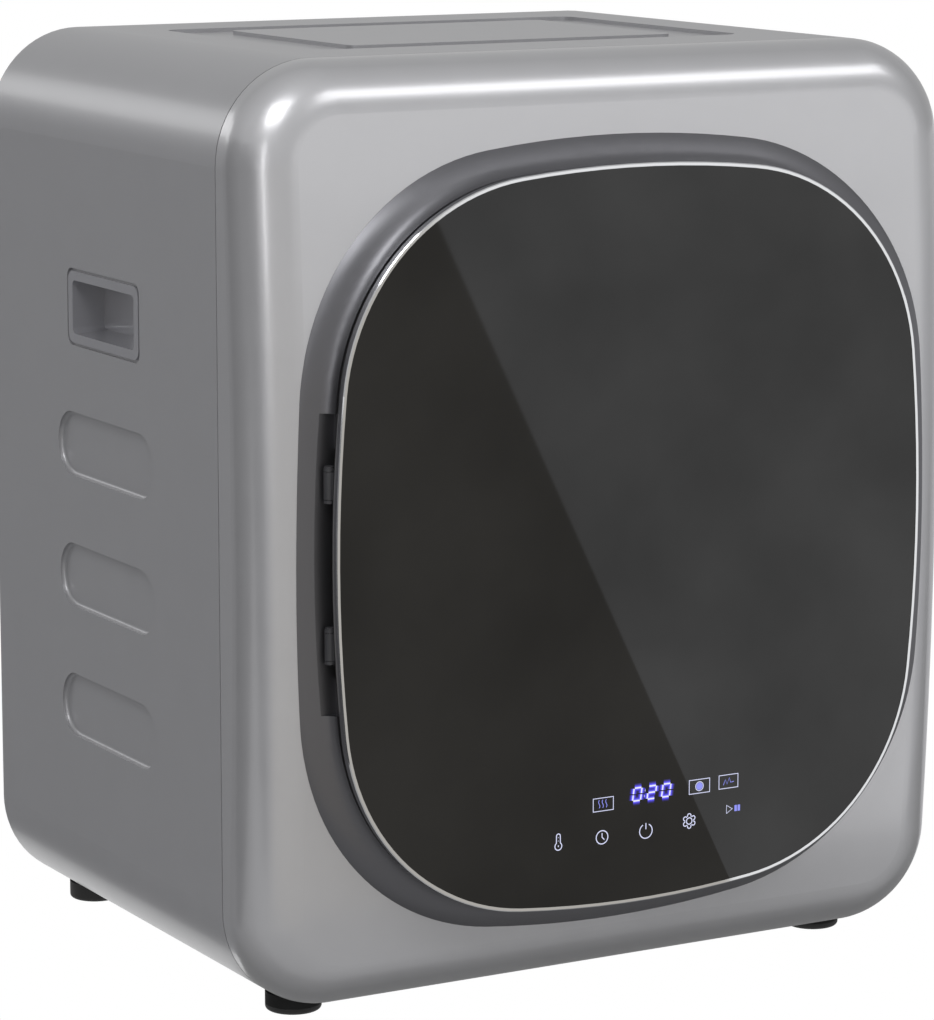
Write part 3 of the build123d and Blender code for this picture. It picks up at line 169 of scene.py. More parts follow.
# Dark grey stoved paint on the hinges' castings: satin, with a faint orange peel 1.5 mm across
hinge_paint = grained("dark_grey_stoved_paint_on_zinc", "#3a3a3d", "#3e3e41", 0.45, 0.0, 1.5 * MM, 0.01 * MM)
# Back-painted tempered glass: black, mirror smooth, with a faint film of polish in clouds 120 mm across
black_glass, tree, shader = new_material("back_painted_black_glass", "#0b0b0b", 0.02, IOR=1.5)
film = add_node(tree, "ShaderNodeTexNoise", {"Scale": 1 / (120 * MM), "Detail": 3.0},
                {"Vector": object_place(tree)})
cloud = add_node(tree, "ShaderNodeMapRange", {"From Min": 0.3, "From Max": 0.7, "To Min": 0.44, "To Max": 0.62},
                 {"Value": film.outputs["Fac"]})
tree.links.new(cloud.outputs["Result"], shader.inputs["Specular IOR Level"])
# Chrome plate: bright, with a trace of blur from polishing
chrome = grained("polished_chrome_plate", "#e4e5e7", "#dfe0e2", 0.07, 1.0, 0.6 * MM, 0.001 * MM, 0.02)
# Moulded black ABS with a fine spark-eroded grain, drawn at 0.5 mm so that it shows
black_abs = grained("grained_black_abs", "#1b1b1c", "#202021", 0.55, 0.0, 0.5 * MM, 0.03 * MM, 0.05)
# Moulded light grey ABS, slightly glossy
light_abs = grained("moulded_light_grey_abs", "#c6c7c8", "#cccccd", 0.42, 0.0, 0.8 * MM, 0.01 * MM)
# Moulded rubber: matt and dense black
black_rubber = grained("moulded_black_rubber", "#0e0e0f", "#161616", 0.7, 0.0, 0.7 * MM, 0.04 * MM, 0.06)
# Hot dipped zinc: spangles 7 mm across, each of its own brightness and dullness
zinc_sheet, tree, shader = new_material("hot_dipped_zinc_sheet", "#9fa4a8", 0.38, 0.9)
spangle = add_node(tree, "ShaderNodeTexVoronoi", {"Scale": 1 / (7 * MM)}, {"Vector": object_place(tree)})
two_tone(tree, shader, spangle.outputs["Color"], "#8f959a", "#b4b8bb")
dull = add_node(tree, "ShaderNodeMapRange", {"To Min": 0.3, "To Max": 0.5}, {"Value": spangle.outputs["Color"]})
tree.links.new(dull.outputs["Result"], shader.inputs["Roughness"])
# Stainless drum sheet: brushed round the drum, with fine lines 0.9 mm apart along the depth so that they show
drum_steel = grained("brushed_stainless_sheet", "#b9babb", "#c6c7c8", 0.35, 1.0, 0.9 * MM, 0.01 * MM, 0.06,
                     (0.15, 1, 0.15))
# Turned bright steel: a fine grain 0.8 mm across, drawn out along the shafts
bright_steel = grained("turned_bright_steel", "#a9abad", "#b3b5b7", 0.34, 1.0, 0.8 * MM, 0.004 * MM, 0.05,
                       (1, 0.3, 1))
# Pressed wool felt: matt, with matted fibres about 1 mm long
wool_felt = grained("pressed_wool_felt", "#77756f", "#8a8882", 0.95, 0.0, 1.0 * MM, 0.25 * MM, 0.03,
                    Sheen_Weight=0.4)
# Polyester thread: pale grey and a little glossy
polyester = grained("spun_polyester_thread", "#b9bcbd", "#c6c9ca", 0.6, 0.0, 0.8 * MM, 0.01 * MM)
# Circuit board: green solder mask over tracks 4 mm apart
green_board, tree, shader = new_material("green_solder_mask_on_epoxy", "#14532e", 0.35)
tracks = add_node(tree, "ShaderNodeTexVoronoi", {"Scale": 1 / (4 * MM), "distance": "MANHATTAN"},
                  {"Vector": object_place(tree)})
two_tone(tree, shader, tracks.outputs["Distance"], "#1d6a3c", "#124727")
# Resistance strip: straw and blue heat tints over nickel chrome
heater_strip = grained("heat_tinted_nickel_chrome", "#7d7468", "#5b5a63", 0.4, 0.9, 2.0 * MM, 0.01 * MM, 0.08)
# Stoved black enamel on the motor's shell: glossy, with a faint orange peel
motor_enamel = grained("stoved_black_enamel", "#1c1d1f", "#232426", 0.35, 0.0, 1.2 * MM, 0.01 * MM, 0.05)
# Moulded white polypropylene: the capacitor's case, waxy and smooth
white_case = grained("moulded_white_polypropylene", "#dcdcd8", "#e2e2df", 0.45, 0.0, 1.0 * MM, 0.005 * MM)

finishes = {
    silver_coat: ["cabinet_wrap"],
    cup_lacquer: ["handle_cup_left", "handle_cup_right"],
    front_lacquer: ["front_panel"],
    surround_lacquer: ["door_surround"],
    black_glass: ["door_glass"],
    chrome: ["door_trim"],
    black_abs: ["door_frame", "thermostats", "catch_magnet", "door_switch", "switch_plunger", "idler_pulley"],
    light_abs: ["door_liner", "drum_mouth", "fan_housing", "lint_duct", "control_box", "exhaust_collar",
                "drum_lifter_1", "drum_lifter_2", "drum_lifter_3", "fan_impeller", "lint_filter_frame"],
    black_rubber: ["foot_front_left", "foot_front_right", "foot_rear_left", "foot_rear_right", "door_gasket",
                   "cord_gland", "drum_belt"],
    zinc_sheet: ["rear_panel", "base_plate", "front_bulkhead", "rear_bulkhead", "bearing_housing",
                 "motor_bracket", "heater_housing"],
    drum_steel: ["drum_shell", "drum_back"],
    bright_steel: ["drum_bearing", "rear_screws", "idler_spring", "catch_plate", "drum_shaft", "shaft_clip",
                   "motor_shaft", "motor_pulley", "idler_arm"],
    hinge_paint: ["hinge_brackets", "hinge_pins", "hinge_arms"],
    wool_felt: ["front_felt", "rear_felt"],
    polyester: ["lint_filter_mesh"],
    green_board: ["control_board", "display_board"],
    heater_strip: ["heater_element"],
    motor_enamel: ["motor_body"],
    white_case: ["motor_capacitor"],
}
for finish, names in finishes.items():
    for name in names:
        for holder in nodes[name].material_slots:
            holder.material = finish


# Shapes that repeat or follow a line, each grown by a tree of its own


def shape_tree(name, sizes, counts=()):
    """A tree for shapes with named sizes in metres and named counts; its start comes with it."""
    tree = bpy.data.node_groups.new(name, "GeometryNodeTree")
    tree.interface.new_socket("Geometry", in_out="INPUT", socket_type="NodeSocketGeometry")
    for key in sizes:
        tree.interface.new_socket(key, in_out="INPUT", socket_type="NodeSocketFloat")
    for key in counts:
        tree.interface.new_socket(key, in_out="INPUT", socket_type="NodeSocketInt")
    tree.interface.new_socket("Material", in_out="INPUT", socket_type="NodeSocketMaterial")
    tree.interface.new_socket("Geometry", in_out="OUTPUT", socket_type="NodeSocketGeometry")
    return tree, add_node(tree, "NodeGroupInput").outputs


def finish_tree(tree, start, shape):
    """Realize whatever the tree has placed and give it its finish."""
    real = add_node(tree, "GeometryNodeRealizeInstances", None, {"Geometry": shape})
    painted = add_node(tree, "GeometryNodeSetMaterial", None,
                       {"Geometry": real.outputs[0], "Material": start["Material"]})
    add_node(tree, "NodeGroupOutput", None, {"Geometry": painted.outputs[0]})


def grown(name, tree, points, edges, values):
    """A plain mesh piece, grown by a tree from points and edges, with the tree's inputs set by name."""
    seed = bpy.data.meshes.new(name)
    seed.from_pydata(points, edges, [])
    piece = bpy.data.objects.new(name, seed)
    bpy.context.scene.collection.objects.link(piece)
    grower = piece.modifiers.new("grow", "NODES")
    grower.node_group = tree
    for item in tree.interface.items_tree:
        if item.in_out == "INPUT" and item.name in values:
            grower[item.identifier] = values[item.name]
    bpy.context.view_layer.update()
    mesh = bpy.data.meshes.new_from_object(piece.evaluated_get(bpy.context.evaluated_depsgraph_get()))
    piece.modifiers.remove(grower)
    piece.data = mesh
    bpy.data.meshes.remove(seed)
    mesh.name = name
    return piece


# Rear panel screws: pan heads with a cross recess, each turned its own way
SCREW_SIDES = 40
tree, start = shape_tree("pan_head_screws", ["Radius", "Height", "Slot Length", "Slot Width", "Slot Depth"],
                         ["Seed"])
# A ball pressed flat, a little wider and taller than the head, gives the domed top of the rod
tall = add_node(tree, "ShaderNodeMath", {"operation": "MULTIPLY", 1: 1.25}, {0: start["Height"]})
dome_size = add_node(tree, "ShaderNodeCombineXYZ", None,
                     {"X": start["Radius"], "Y": start["Radius"], "Z": tall.outputs[0]})
ball = add_node(tree, "GeometryNodeMeshUVSphere", {"Segments": SCREW_SIDES, "Rings": 20, "Radius": 1.06})
dome = add_node(tree, "GeometryNodeTransform", None,
                {"Geometry": ball.outputs["Mesh"], "Scale": dome_size.outputs[0]})
rod = add_node(tree, "GeometryNodeMeshCylinder", {"Vertices": SCREW_SIDES, "Depth": 1.0},
               {"Radius": start["Radius"]})
block_scale = add_node(tree, "ShaderNodeCombineXYZ", {"X": 1.0, "Y": 1.0}, {"Z": start["Height"]})
half = add_node(tree, "ShaderNodeMath", {"operation": "MULTIPLY", 1: 0.5}, {0: start["Height"]})
block_at = add_node(tree, "ShaderNodeCombineXYZ", None, {"Z": half.outputs[0]})
block = add_node(tree, "GeometryNodeTransform", None,
                 {"Geometry": rod.outputs["Mesh"], "Scale": block_scale.outputs[0],
                  "Translation": block_at.outputs[0]})
head = add_node(tree, "GeometryNodeMeshBoolean", {"operation": "INTERSECT", "solver": "EXACT"})
tree.links.new(dome.outputs[0], head.inputs["Mesh"])
tree.links.new(block.outputs[0], head.inputs["Mesh"])
# Two bars across the top cut the recess
slot_size = add_node(tree, "ShaderNodeCombineXYZ", None,
                     {"X": start["Slot Length"], "Y": start["Slot Width"], "Z": start["Slot Depth"]})
bar = add_node(tree, "GeometryNodeMeshCube", None, {"Size": slot_size.outputs[0]})
bar_at = add_node(tree, "ShaderNodeCombineXYZ", None, {"Z": start["Height"]})
cut = add_node(tree, "GeometryNodeMeshBoolean", {"operation": "DIFFERENCE", "solver": "EXACT"},
               {"Mesh 1": head.outputs["Mesh"]})
for bar_turn in (0, math.pi / 2):
    slot = add_node(tree, "GeometryNodeTransform", {"Rotation": (0, 0, bar_turn)},
                    {"Geometry": bar.outputs["Mesh"], "Translation": bar_at.outputs[0]})
    tree.links.new(slot.outputs[0], cut.inputs["Mesh 2"])
rearward = add_node(tree, "GeometryNodeTransform", {"Rotation": (-math.pi / 2, 0, 0)},
                    {"Geometry": cut.outputs["Mesh"]})
turn = add_node(tree, "FunctionNodeRandomValue",
                {"data_type": "FLOAT_VECTOR", "Min": (0, 0, 0), "Max": (0, math.pi, 0)}, {"Seed": start["Seed"]})
placed = add_node(tree, "GeometryNodeInstanceOnPoints", None,
                  {"Points": start["Geometry"], "Instance": rearward.outputs[0],
                   "Rotation": turn.outputs["Value"]})
finish_tree(tree, start, placed.outputs[0])

SCREW_R = 4.0 * MM
SCREW_ROWS_APART = 150 * MM
SCREW_COLUMNS_APART = 120 * MM
low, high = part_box("rear_screws")
across, foot, top = high[0] - SCREW_R, low[2] + SCREW_R, high[2] - SCREW_R
middle = (foot + top) / 2
spots = [(side * across, low[1], middle + row * SCREW_ROWS_APART) for side in (-1, 1) for row in (-1, 0, 1)]
spots += [(column * SCREW_COLUMNS_APART, low[1], end) for end in (foot, top) for column in (-1, 0, 1)]
screws = grown("rear_screw_heads", tree, spots, [], {
    "Radius": SCREW_R, "Height": high[1] - low[1], "Slot Length": 4.6 * MM, "Slot Width": 0.9 * MM,
    "Slot Depth": 2.4 * MM, "Seed": 7, "Material": bright_steel})
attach(screws, "cabinet")
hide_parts("rear_screws")

# Idler spring: round wire wound round the arm's pivot, turn on turn
tree, start = shape_tree("wound_spring", ["Radius", "Wire", "Length", "Turns"])
thick = add_node(tree, "ShaderNodeMath", {"operation": "MULTIPLY", 1: 0.5}, {0: start["Wire"]})
coil = add_node(tree, "GeometryNodeCurveSpiral", {"Resolution": 32},
                {"Rotations": start["Turns"], "Start Radius": start["Radius"], "End Radius": start["Radius"],
                 "Height": start["Length"]})
wire = add_node(tree, "GeometryNodeCurvePrimitiveCircle", {"Resolution": 12}, {"Radius": thick.outputs[0]})
wound = add_node(tree, "GeometryNodeCurveToMesh", {"Fill Caps": True},
                 {"Curve": coil.outputs["Curve"], "Profile Curve": wire.outputs["Curve"]})
along = add_node(tree, "GeometryNodeTransform", {"Rotation": (-math.pi / 2, 0, 0)},
                 {"Geometry": wound.outputs[0]})
coils = add_node(tree, "GeometryNodeInstanceOnPoints", None,
                 {"Points": start["Geometry"], "Instance": along.outputs[0]})
finish_tree(tree, start, coils.outputs[0])

WIRE = 1.6 * MM
# The turns lie 5 percent of the wire's thickness apart
TURN_PITCH = 1.05 * WIRE
low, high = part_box("idler_spring")
coil_r = (high[0] - low[0]) / 2 - WIRE / 2
coil_len = high[1] - low[1] - WIRE
coil_start = ((low[0] + high[0]) / 2, low[1] + WIRE / 2, (low[2] + high[2]) / 2)
spring = grown("idler_spring_coil", tree, [coil_start], [], {
    "Radius": coil_r, "Wire": WIRE, "Length": coil_len, "Turns": coil_len / TURN_PITCH,
    "Material": bright_steel})
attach(spring, "cabinet")
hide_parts("idler_spring")

# Lint filter: a plain weave of polyester threads, coarser than a real one, which is too fine to show
tree, start = shape_tree("plain_weave", ["Pitch", "Thread", "Wide", "High"], ["Columns", "Rows"])
thin = add_node(tree, "ShaderNodeMath", {"operation": "MULTIPLY", 1: 0.5}, {0: start["Thread"]})
number = add_node(tree, "GeometryNodeInputIndex")
odd = add_node(tree, "ShaderNodeMath", {"operation": "MODULO", 1: 2.0}, {0: number.outputs[0]})
sign = add_node(tree, "ShaderNodeMath", {"operation": "MULTIPLY_ADD", 1: -2.0, 2: 1.0}, {0: odd.outputs[0]})
over = add_node(tree, "ShaderNodeMath", {"operation": "MULTIPLY"}, {0: sign.outputs[0], 1: thin.outputs[0]})
under = add_node(tree, "ShaderNodeMath", {"operation": "MULTIPLY", 1: -1.0}, {0: over.outputs[0]})
half_turn = add_node(tree, "ShaderNodeMath", {"operation": "MULTIPLY", 1: math.pi}, {0: odd.outputs[0]})
section = add_node(tree, "GeometryNodeCurvePrimitiveCircle", {"Resolution": 5}, {"Radius": thin.outputs[0]})
sets = add_node(tree, "GeometryNodeJoinGeometry")
# Each set of threads runs along one axis, waves over and under, and stands in rows across the other axis
for along, across, count, steps, rise, axis in (
        ("X", "Z", "Rows", "Columns", over, "X"), ("Z", "X", "Columns", "Rows", under, "Z")):
    span = {"X": start["Wide"], "Z": start["High"]}
    back = {}
    for key in (along, across):
        far_half = add_node(tree, "ShaderNodeMath", {"operation": "MULTIPLY", 1: -0.5}, {0: span[key]})
        back[key] = far_half.outputs[0]
    begin = add_node(tree, "ShaderNodeCombineXYZ", None, {along: back[along]})
    stride = add_node(tree, "ShaderNodeCombineXYZ", None, {along: start["Pitch"]})
    line = add_node(tree, "GeometryNodeMeshLine", {"mode": "OFFSET"},
                    {"Count": start[steps], "Start Location": begin.outputs[0], "Offset": stride.outputs[0]})
    lift = add_node(tree, "ShaderNodeCombineXYZ", None, {"Y": rise.outputs[0]})
    waved = add_node(tree, "GeometryNodeSetPosition", None,
                     {"Geometry": line.outputs[0], "Offset": lift.outputs[0]})
    course = add_node(tree, "GeometryNodeMeshToCurve", None, {"Mesh": waved.outputs[0]})
    thread = add_node(tree, "GeometryNodeCurveToMesh", {"Fill Caps": True},
                      {"Curve": course.outputs[0], "Profile Curve": section.outputs["Curve"]})
    begin = add_node(tree, "ShaderNodeCombineXYZ", None, {across: back[across]})
    stride = add_node(tree, "ShaderNodeCombineXYZ", None, {across: start["Pitch"]})
    posts = add_node(tree, "GeometryNodeMeshLine", {"mode": "OFFSET"},
                     {"Count": start[count], "Start Location": begin.outputs[0], "Offset": stride.outputs[0]})
    flip = add_node(tree, "ShaderNodeCombineXYZ", None, {axis: half_turn.outputs[0]})
    rows = add_node(tree, "GeometryNodeInstanceOnPoints", None,
                    {"Points": posts.outputs[0], "Instance": thread.outputs[0], "Rotation": flip.outputs[0]})
    tree.links.new(rows.outputs[0], sets.inputs[0])
cloth = add_node(tree, "GeometryNodeInstanceOnPoints", None,
                 {"Points": start["Geometry"], "Instance": sets.outputs[0]})
finish_tree(tree, start, cloth.outputs[0])

THREAD = 0.38 * MM
THREADS_APART = 1.5 * MM
low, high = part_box("lint_filter_mesh")
# Odd numbers of threads fill the cloth's width and height
columns, rows = (round((high[i] - low[i] - THREAD) / THREADS_APART) // 2 * 2 + 1 for i in (0, 2))
weave = grown("lint_filter_weave", tree, [tuple((a + b) / 2 for a, b in zip(low, high))], [], {
    "Pitch": THREADS_APART, "Thread": THREAD, "Wide": (columns - 1) * THREADS_APART,
    "High": (rows - 1) * THREADS_APART, "Columns": columns, "Rows": rows, "Material": polyester})
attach(weave, "lint_filter")
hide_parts("lint_filter_mesh")


# Display: lit signs on the front of the glass, each a thin flattened line

stroke_tree, start = shape_tree("flat_strokes", ["Width", "Flatness", "Depth"])
thick = add_node(stroke_tree, "ShaderNodeMath", {"operation": "MULTIPLY", 1: 0.5}, {0: start["Width"]})
path = add_node(stroke_tree, "GeometryNodeMeshToCurve", None, {"Mesh": start["Geometry"]})
pen = add_node(stroke_tree, "GeometryNodeCurvePrimitiveCircle", {"Resolution": 8}, {"Radius": thick.outputs[0]})
drawn = add_node(stroke_tree, "GeometryNodeCurveToMesh", {"Fill Caps": True},
                 {"Curve": path.outputs[0], "Profile Curve": pen.outputs["Curve"]})
pressed = add_node(stroke_tree, "ShaderNodeCombineXYZ", {"X": 1.0, "Z": 1.0}, {"Y": start["Flatness"]})
pushed = add_node(stroke_tree, "ShaderNodeCombineXYZ", None, {"Y": start["Depth"]})
flat = add_node(stroke_tree, "GeometryNodeTransform", None,
                {"Geometry": drawn.outputs[0], "Scale": pressed.outputs[0], "Translation": pushed.outputs[0]})
finish_tree(stroke_tree, start, flat.outputs[0])


def lit(name, colour):
    """Light from behind the print."""
    material, _, _ = new_material(name, "#050505", 0.4, Emission_Color=linear(colour), Emission_Strength=1.0)
    return material


sign_light = lit("pale_blue_sign_light", "#dde1ff")
digit_light = lit("white_blue_digit_light", "#eef0ff")
disc_light = lit("lavender_disc_light", "#8f94f4")
halo_near = lit("blue_halo_near", "#6f68ff")
halo_mid = lit("blue_halo_mid", "#4038c8")
halo_far = lit("blue_halo_far", "#292462")

# A stroke's thickness, in millimetres
STROKE_T = 0.02


def strokes(name, lines, width, rise, material):
    """Lines in millimetres (x, height above the cabinet's base) as one flat mesh on the glass, width across."""
    points, edges = [], []
    for line, closed in lines:
        first = len(points)
        points += [(x * MM, 0, z * MM + DISPLAY_BASE) for x, z in line]
        edges += [(first + i, first + i + 1) for i in range(len(line) - 1)]
        if closed:
            edges.append((len(points) - 1, first))
    piece = grown(name, stroke_tree, points, edges, {
        "Width": width * MM, "Flatness": STROKE_T / width, "Depth": GLASS_FRONT - rise * MM,
        "Material": material})
    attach(piece, "door")
    return piece


def arc(x, z, r, start=0, end=360, count=28):
    """Points on a circle, in degrees from the right-hand side."""
    steps = count if end - start >= 360 else count + 1
    turns = [math.radians(start + (end - start) * i / count) for i in range(steps)]
    return [(x + r * math.cos(turn), z + r * math.sin(turn)) for turn in turns]


def frame_of(x, z, w, h):
    """The corners of an upright rectangle about a middle."""
    return [(x - w / 2, z - h / 2), (x + w / 2, z - h / 2), (x + w / 2, z + h / 2), (x - w / 2, z + h / 2)]


# Seven-segment digits, leaning forward: segment ends as (x, z) on a unit cell
SEGMENTS = {"a": ((0, 2), (1, 2)), "b": ((1, 2), (1, 1)), "c": ((1, 1), (1, 0)), "d": ((0, 0), (1, 0)),
            "e": ((0, 1), (0, 0)), "f": ((0, 2), (0, 1)), "g": ((0, 1), (1, 1))}
DIGITS = {"0": "abcdef", "2": "abged"}
DIGITS_X, DIGITS_Z = 10.5, 123.0
DIGIT_W, DIGIT_H, DIGIT_LEAN, DIGIT_GAP = 5.9, 8.3, 0.14, 0.09
COLON_X, COLON_DOT, COLON_RISE = -5.2, 0.35, 1.8
digit_lines = []
for x, figure in ((-10.6, "0"), (0.2, "2"), (11.0, "0")):
    for key in DIGITS[figure]:
        (ax, az), (bx, bz) = SEGMENTS[key]
        ends = []
        for px, pz in ((ax + DIGIT_GAP * (bx - ax), az + DIGIT_GAP * (bz - az)),
                       (bx - DIGIT_GAP * (bx - ax), bz - DIGIT_GAP * (bz - az))):
            rise = (pz / 2 - 0.5) * DIGIT_H
            ends.append((DIGITS_X + x + (px - 0.5) * DIGIT_W + rise * DIGIT_LEAN, DIGITS_Z + rise))
        digit_lines.append((ends, False))
colon = []
for rise in (-COLON_RISE, COLON_RISE):
    left = DIGITS_X + COLON_X + rise * DIGIT_LEAN
    colon.append(([(left, DIGITS_Z + rise), (left + COLON_DOT, DIGITS_Z + rise)], False))
strokes("digits_halo_far", digit_lines, 5.6, 0.03, halo_far)
strokes("digits_halo_mid", digit_lines, 3.8, 0.05, halo_mid)
strokes("digits_halo_near", digit_lines + colon, 2.3, 0.08, halo_near)
strokes("digits_core", digit_lines + colon, 0.95, 0.11, digit_light)

# Three boxes beside the digits; the middle one holds the round drum sign
DRUM_X, DRUM_Z = 46.5, 122.5
boxes = [(-25.2, 119.6, 14.8, 8.4), (DRUM_X, DRUM_Z, 15.4, 9.0), (68.5, 123.0, 14.4, 8.8)]
strokes("sign_boxes", [(frame_of(*box), True) for box in boxes], 0.68, 0.06, sign_light)
# Heat waves in the first box
WAVES_X, WAVES_FOOT, WAVES_APART = -25.6, 117.4, 2.6
marks = []
for x in (WAVES_X - WAVES_APART, WAVES_X, WAVES_X + WAVES_APART):
    marks.append(([(x + 0.5 * math.sin(t * 1.05), WAVES_FOOT + t * 0.87) for t in range(7)], False))
# Folded cloth in the last box
cloth = [(64.6, 120.9), (66.2, 124.4), (67.4, 121.3), (69.2, 125.4), (70.2, 122.2), (72.6, 122.6)]
marks.append((cloth, False))
strokes("sign_box_marks", marks, 0.5, 0.06, disc_light)
strokes("sign_disc", [(arc(DRUM_X, DRUM_Z, 1.1), True)], 2.6, 0.06, disc_light)
strokes("sign_disc_rim", [(arc(DRUM_X, DRUM_Z, 2.9), True)], 0.5, 0.08, sign_light)

# Touch keys in the lower row
keys = []
# Thermometer: a bulb, a tube with a round top, and marks inside it
HEAT_X, BULB_Z, TUBE_R, TUBE_TOP = -58.0, 96.6, 1.4, 103.0
bulb = arc(HEAT_X, BULB_Z, 2.5, 125, 415, 20)
cap = arc(HEAT_X, TUBE_TOP + 0.2, TUBE_R, 0, 180, 8)[1:-1]
keys.append((bulb + [(HEAT_X + TUBE_R, TUBE_TOP)] + cap + [(HEAT_X - TUBE_R, TUBE_TOP)], True))
for mark_top, mark_foot in ((97.2, 96.2), (100.2, 99.9), (102.4, 102.1)):
    keys.append(([(HEAT_X, mark_top), (HEAT_X, mark_foot)], False))
# Clock
CLOCK_X, CLOCK_Z = -26.0, 98.3
keys.append((arc(CLOCK_X, CLOCK_Z, 4.3), True))
keys.append(([(CLOCK_X, CLOCK_Z + 2.7), (CLOCK_X, CLOCK_Z), (CLOCK_X + 1.7, CLOCK_Z - 1.7)], False))
# Power
POWER_X, POWER_Z = 6.5, 98.2
keys.append((arc(POWER_X, POWER_Z, 4.7, 118, 422, 26), False))
keys.append(([(POWER_X, POWER_Z + 5.2), (POWER_X, POWER_Z + 1.2)], False))
# Programme flower: a ring with six open petals round it
FLOWER_X, FLOWER_Z, PETALS, PETALS_OUT = 39.0, 100.6, 6, 3.45
keys.append((arc(FLOWER_X, FLOWER_Z, 2.1), True))
for k in range(PETALS):
    way = 360 / PETALS * k + 30
    petal_x = FLOWER_X + PETALS_OUT * math.cos(math.radians(way))
    petal_z = FLOWER_Z + PETALS_OUT * math.sin(math.radians(way))
    keys.append((arc(petal_x, petal_z, 1.35, way - 120, way + 120, 12), False))
# Start and pause
PAUSE_Z, PAUSE_H = 102.7, 4.0
keys.append(([(67.2, 101.9), (71.6, 104.6), (67.2, 107.3)], True))
strokes("sign_keys", keys, 0.66, 0.06, sign_light)
bars = [([(x, PAUSE_Z), (x, PAUSE_Z + PAUSE_H)], False) for x in (74.2, 76.6)]
strokes("sign_pause", bars, 1.9, 0.06, disc_light)


# Stage: a white floor and a white room, cards that only reflections see, and soft lamps

# The camera's yaw is to the right of straight back, and its pitch is downwards
CAMERA_YAW, CAMERA_PITCH = math.radians(29.414), math.radians(9.547)
camera = bpy.data.cameras.new("camera")
camera.lens = 145.52
camera.sensor_width = 36
camera.shift_y = -50 / 1020
camera.clip_end = 60
camera_holder = bpy.data.objects.new("camera", camera)
bpy.context.scene.collection.objects.link(camera_holder)
camera_holder.location = (-1.3393, -2.3817, 0.7758)
ahead = Vector((math.sin(CAMERA_YAW) * math.cos(CAMERA_PITCH), math.cos(CAMERA_YAW) * math.cos(CAMERA_PITCH),
                -math.sin(CAMERA_PITCH)))
camera_holder.rotation_mode = "QUATERNION"
camera_holder.rotation_quaternion = ahead.to_track_quat("-Z", "Y")
bpy.context.scene.camera = camera_holder


def sheet(name, corners, material):
    """A flat piece of the stage."""
    mesh = bpy.data.meshes.new(name)
    mesh.from_pydata(corners, [], [tuple(range(len(corners)))])
    mesh.materials.append(material)
    holder = bpy.data.objects.new(name, mesh)
    bpy.context.scene.collection.objects.link(holder)
    return holder


def where_seen(tree, rays, shade, white):
    """White to these kinds of ray, and shade to all others."""
    path = add_node(tree, "ShaderNodeLightPath")
    seen = path.outputs[rays[0]]
    for ray in rays[1:]:
        either = add_node(tree, "ShaderNodeMath", {"operation": "MAXIMUM"}, {0: seen, 1: path.outputs[ray]})
        seen = either.outputs[0]
    return add_node(tree, "ShaderNodeMixShader", None, {0: seen, 1: shade, 2: white}).outputs[0]


floor_paint, tree, shader = new_material("pale_floor", "#bcbcbc", 0.9, Specular_IOR_Level=0.0)
lit_floor = add_node(tree, "ShaderNodeEmission", {"Strength": 1.0})
mix = where_seen(tree, ("Is Camera Ray", "Is Glossy Ray", "Is Transmission Ray"),
                 shader.outputs[0], lit_floor.outputs[0])
tree.links.new(mix, tree.nodes["Material Output"].inputs["Surface"])
sheet("floor", [(-30, -30, 0), (30, -30, 0), (30, 30, 0), (-30, 30, 0)], floor_paint)


def reflected_sheet(name, colour, corners):
    """A flat card that only reflections see."""
    paint, _, _ = new_material(name, "#000000", 1.0, Emission_Color=linear(colour), Emission_Strength=1.0)
    card = sheet(name, corners, paint)
    card.visible_camera = card.visible_diffuse = card.visible_shadow = card.visible_transmission = False


# The cards lie a little above the floor, and those beside the cabinet start just clear of its sides
BESIDE = 0.262
FAR = 9
# The dim card's edge makes the slanting line in the glass
reflected_sheet("dim_card", "#bcb8b1", [(0.111, -0.24, 0.002), (2.60, -5.29, 0.002), (4.6, -12.0, 0.002),
                                        (-8, -12, 0.002), (-8, -0.24, 0.002)])
# The near and foot cards keep the foot of the front quiet
reflected_sheet("near_card", "#a6a6a6", [(-3, -0.36, 0.004), (3, -0.36, 0.004), (3, -0.212, 0.004),
                                         (-3, -0.212, 0.004)])
reflected_sheet("foot_card", "#888888", [(-3, -0.212, 0.004), (3, -0.212, 0.004), (3, -0.10, 0.004),
                                         (-3, -0.10, 0.004)])
# The side and far cards dim what the left side reflects, and the right card what the right side does
reflected_sheet("side_card", "#8a8a8c", [(-8.63, -7.15, 0.003), (-BESIDE, -0.26, 0.003), (-BESIDE, FAR, 0.003),
                                         (-8.63, FAR, 0.003)])
reflected_sheet("far_card", "#a6a6a8", [(-8.63, FAR, 0), (-BESIDE, FAR, 0), (-BESIDE, FAR, 1.7),
                                        (-8.63, FAR, 1.7)])
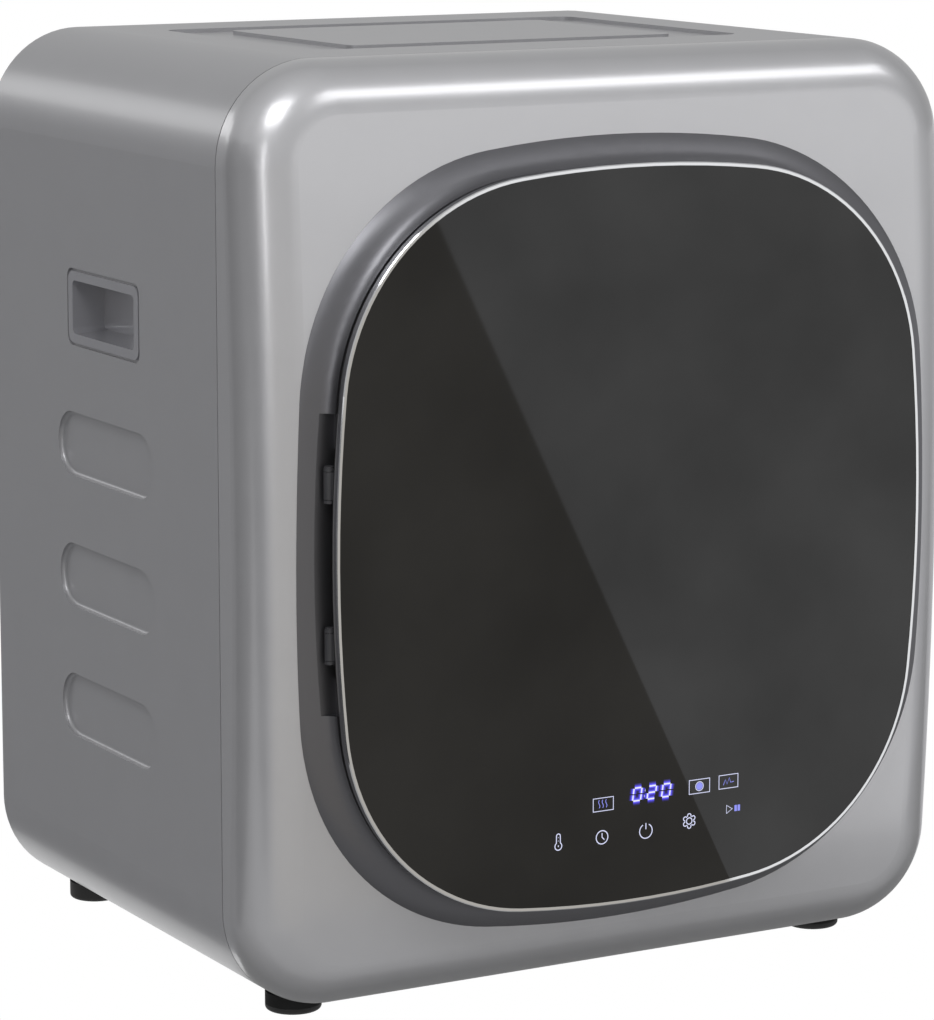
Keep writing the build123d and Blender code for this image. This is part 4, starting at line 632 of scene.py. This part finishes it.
# The edge cards darken what the turned edges on the left reflect
reflected_sheet("edge_floor", "#28282a", [(-4.1, 4.4, 0.0035), (-5.55, -3.0, 0.0035),
                                          (-BESIDE, -0.26, 0.0035)])
reflected_sheet("edge_card", "#28282a", [(-5.55, -3.0, 0), (-4.1, 4.4, 0), (-4.1, 4.4, 2.2),
                                         (-5.55, -3.0, 2.2)])
reflected_sheet("right_card", "#d0d0d2", [(BESIDE, -0.26, 0.003), (8.8, -5.5, 0.003), (8.8, FAR, 0.003),
                                          (BESIDE, FAR, 0.003)])

world = bpy.data.worlds.new("room")
bpy.context.scene.world = world
world.use_nodes = True
tree = world.node_tree
soft = tree.nodes["Background"]
soft.inputs["Color"].default_value = linear("#ffffff")
soft.inputs["Strength"].default_value = 0.52
white = add_node(tree, "ShaderNodeBackground", {"Strength": 1.0})
# Gloss sees the soft room, which is dimmer than white, because the photo's silver skin and glass do
mix = where_seen(tree, ("Is Camera Ray", "Is Transmission Ray"), soft.outputs[0], white.outputs[0])
tree.links.new(mix, tree.nodes["World Output"].inputs["Surface"])


def lamp(name, place, aim, wide, high, watts):
    """A soft box that points at aim."""
    light = bpy.data.lights.new(name, "AREA")
    light.shape = "RECTANGLE"
    light.size, light.size_y, light.energy = wide, high, watts
    holder = bpy.data.objects.new(name, light)
    bpy.context.scene.collection.objects.link(holder)
    holder.location = place
    holder.rotation_mode = "QUATERNION"
    holder.rotation_quaternion = (Vector(aim) - Vector(place)).to_track_quat("-Z", "Y")
    holder.visible_camera = False


# The key lights the top and the highlight along its front edge; the corner box lights the upper left corner;
# the left strip draws the upright line on the left rounding; the front and rear boxes fill
lamp("key_box", (1.45, -1.9, 2.4), (0.75, -0.13, 0.5), 2.0, 0.8, 15)
lamp("front_box", (2.0, -3.7, 0.85), (0, -0.2, 0.5), 3.0, 0.6, 4)
lamp("left_strip", (-2.08, -1.9, 0.95), (-0.25, -0.19, 0.5), 0.28, 1.2, 4)
lamp("corner_box", (-1.4, -1.55, 2.65), (-0.15, -0.2, 0.5), 1.3, 1.0, 27)
lamp("rear_box", (-1.75, 3.0, 1.55), (0, 0, 0.5), 1.6, 0.7, 6)

bpy.context.scene.view_settings.view_transform = "Standard"
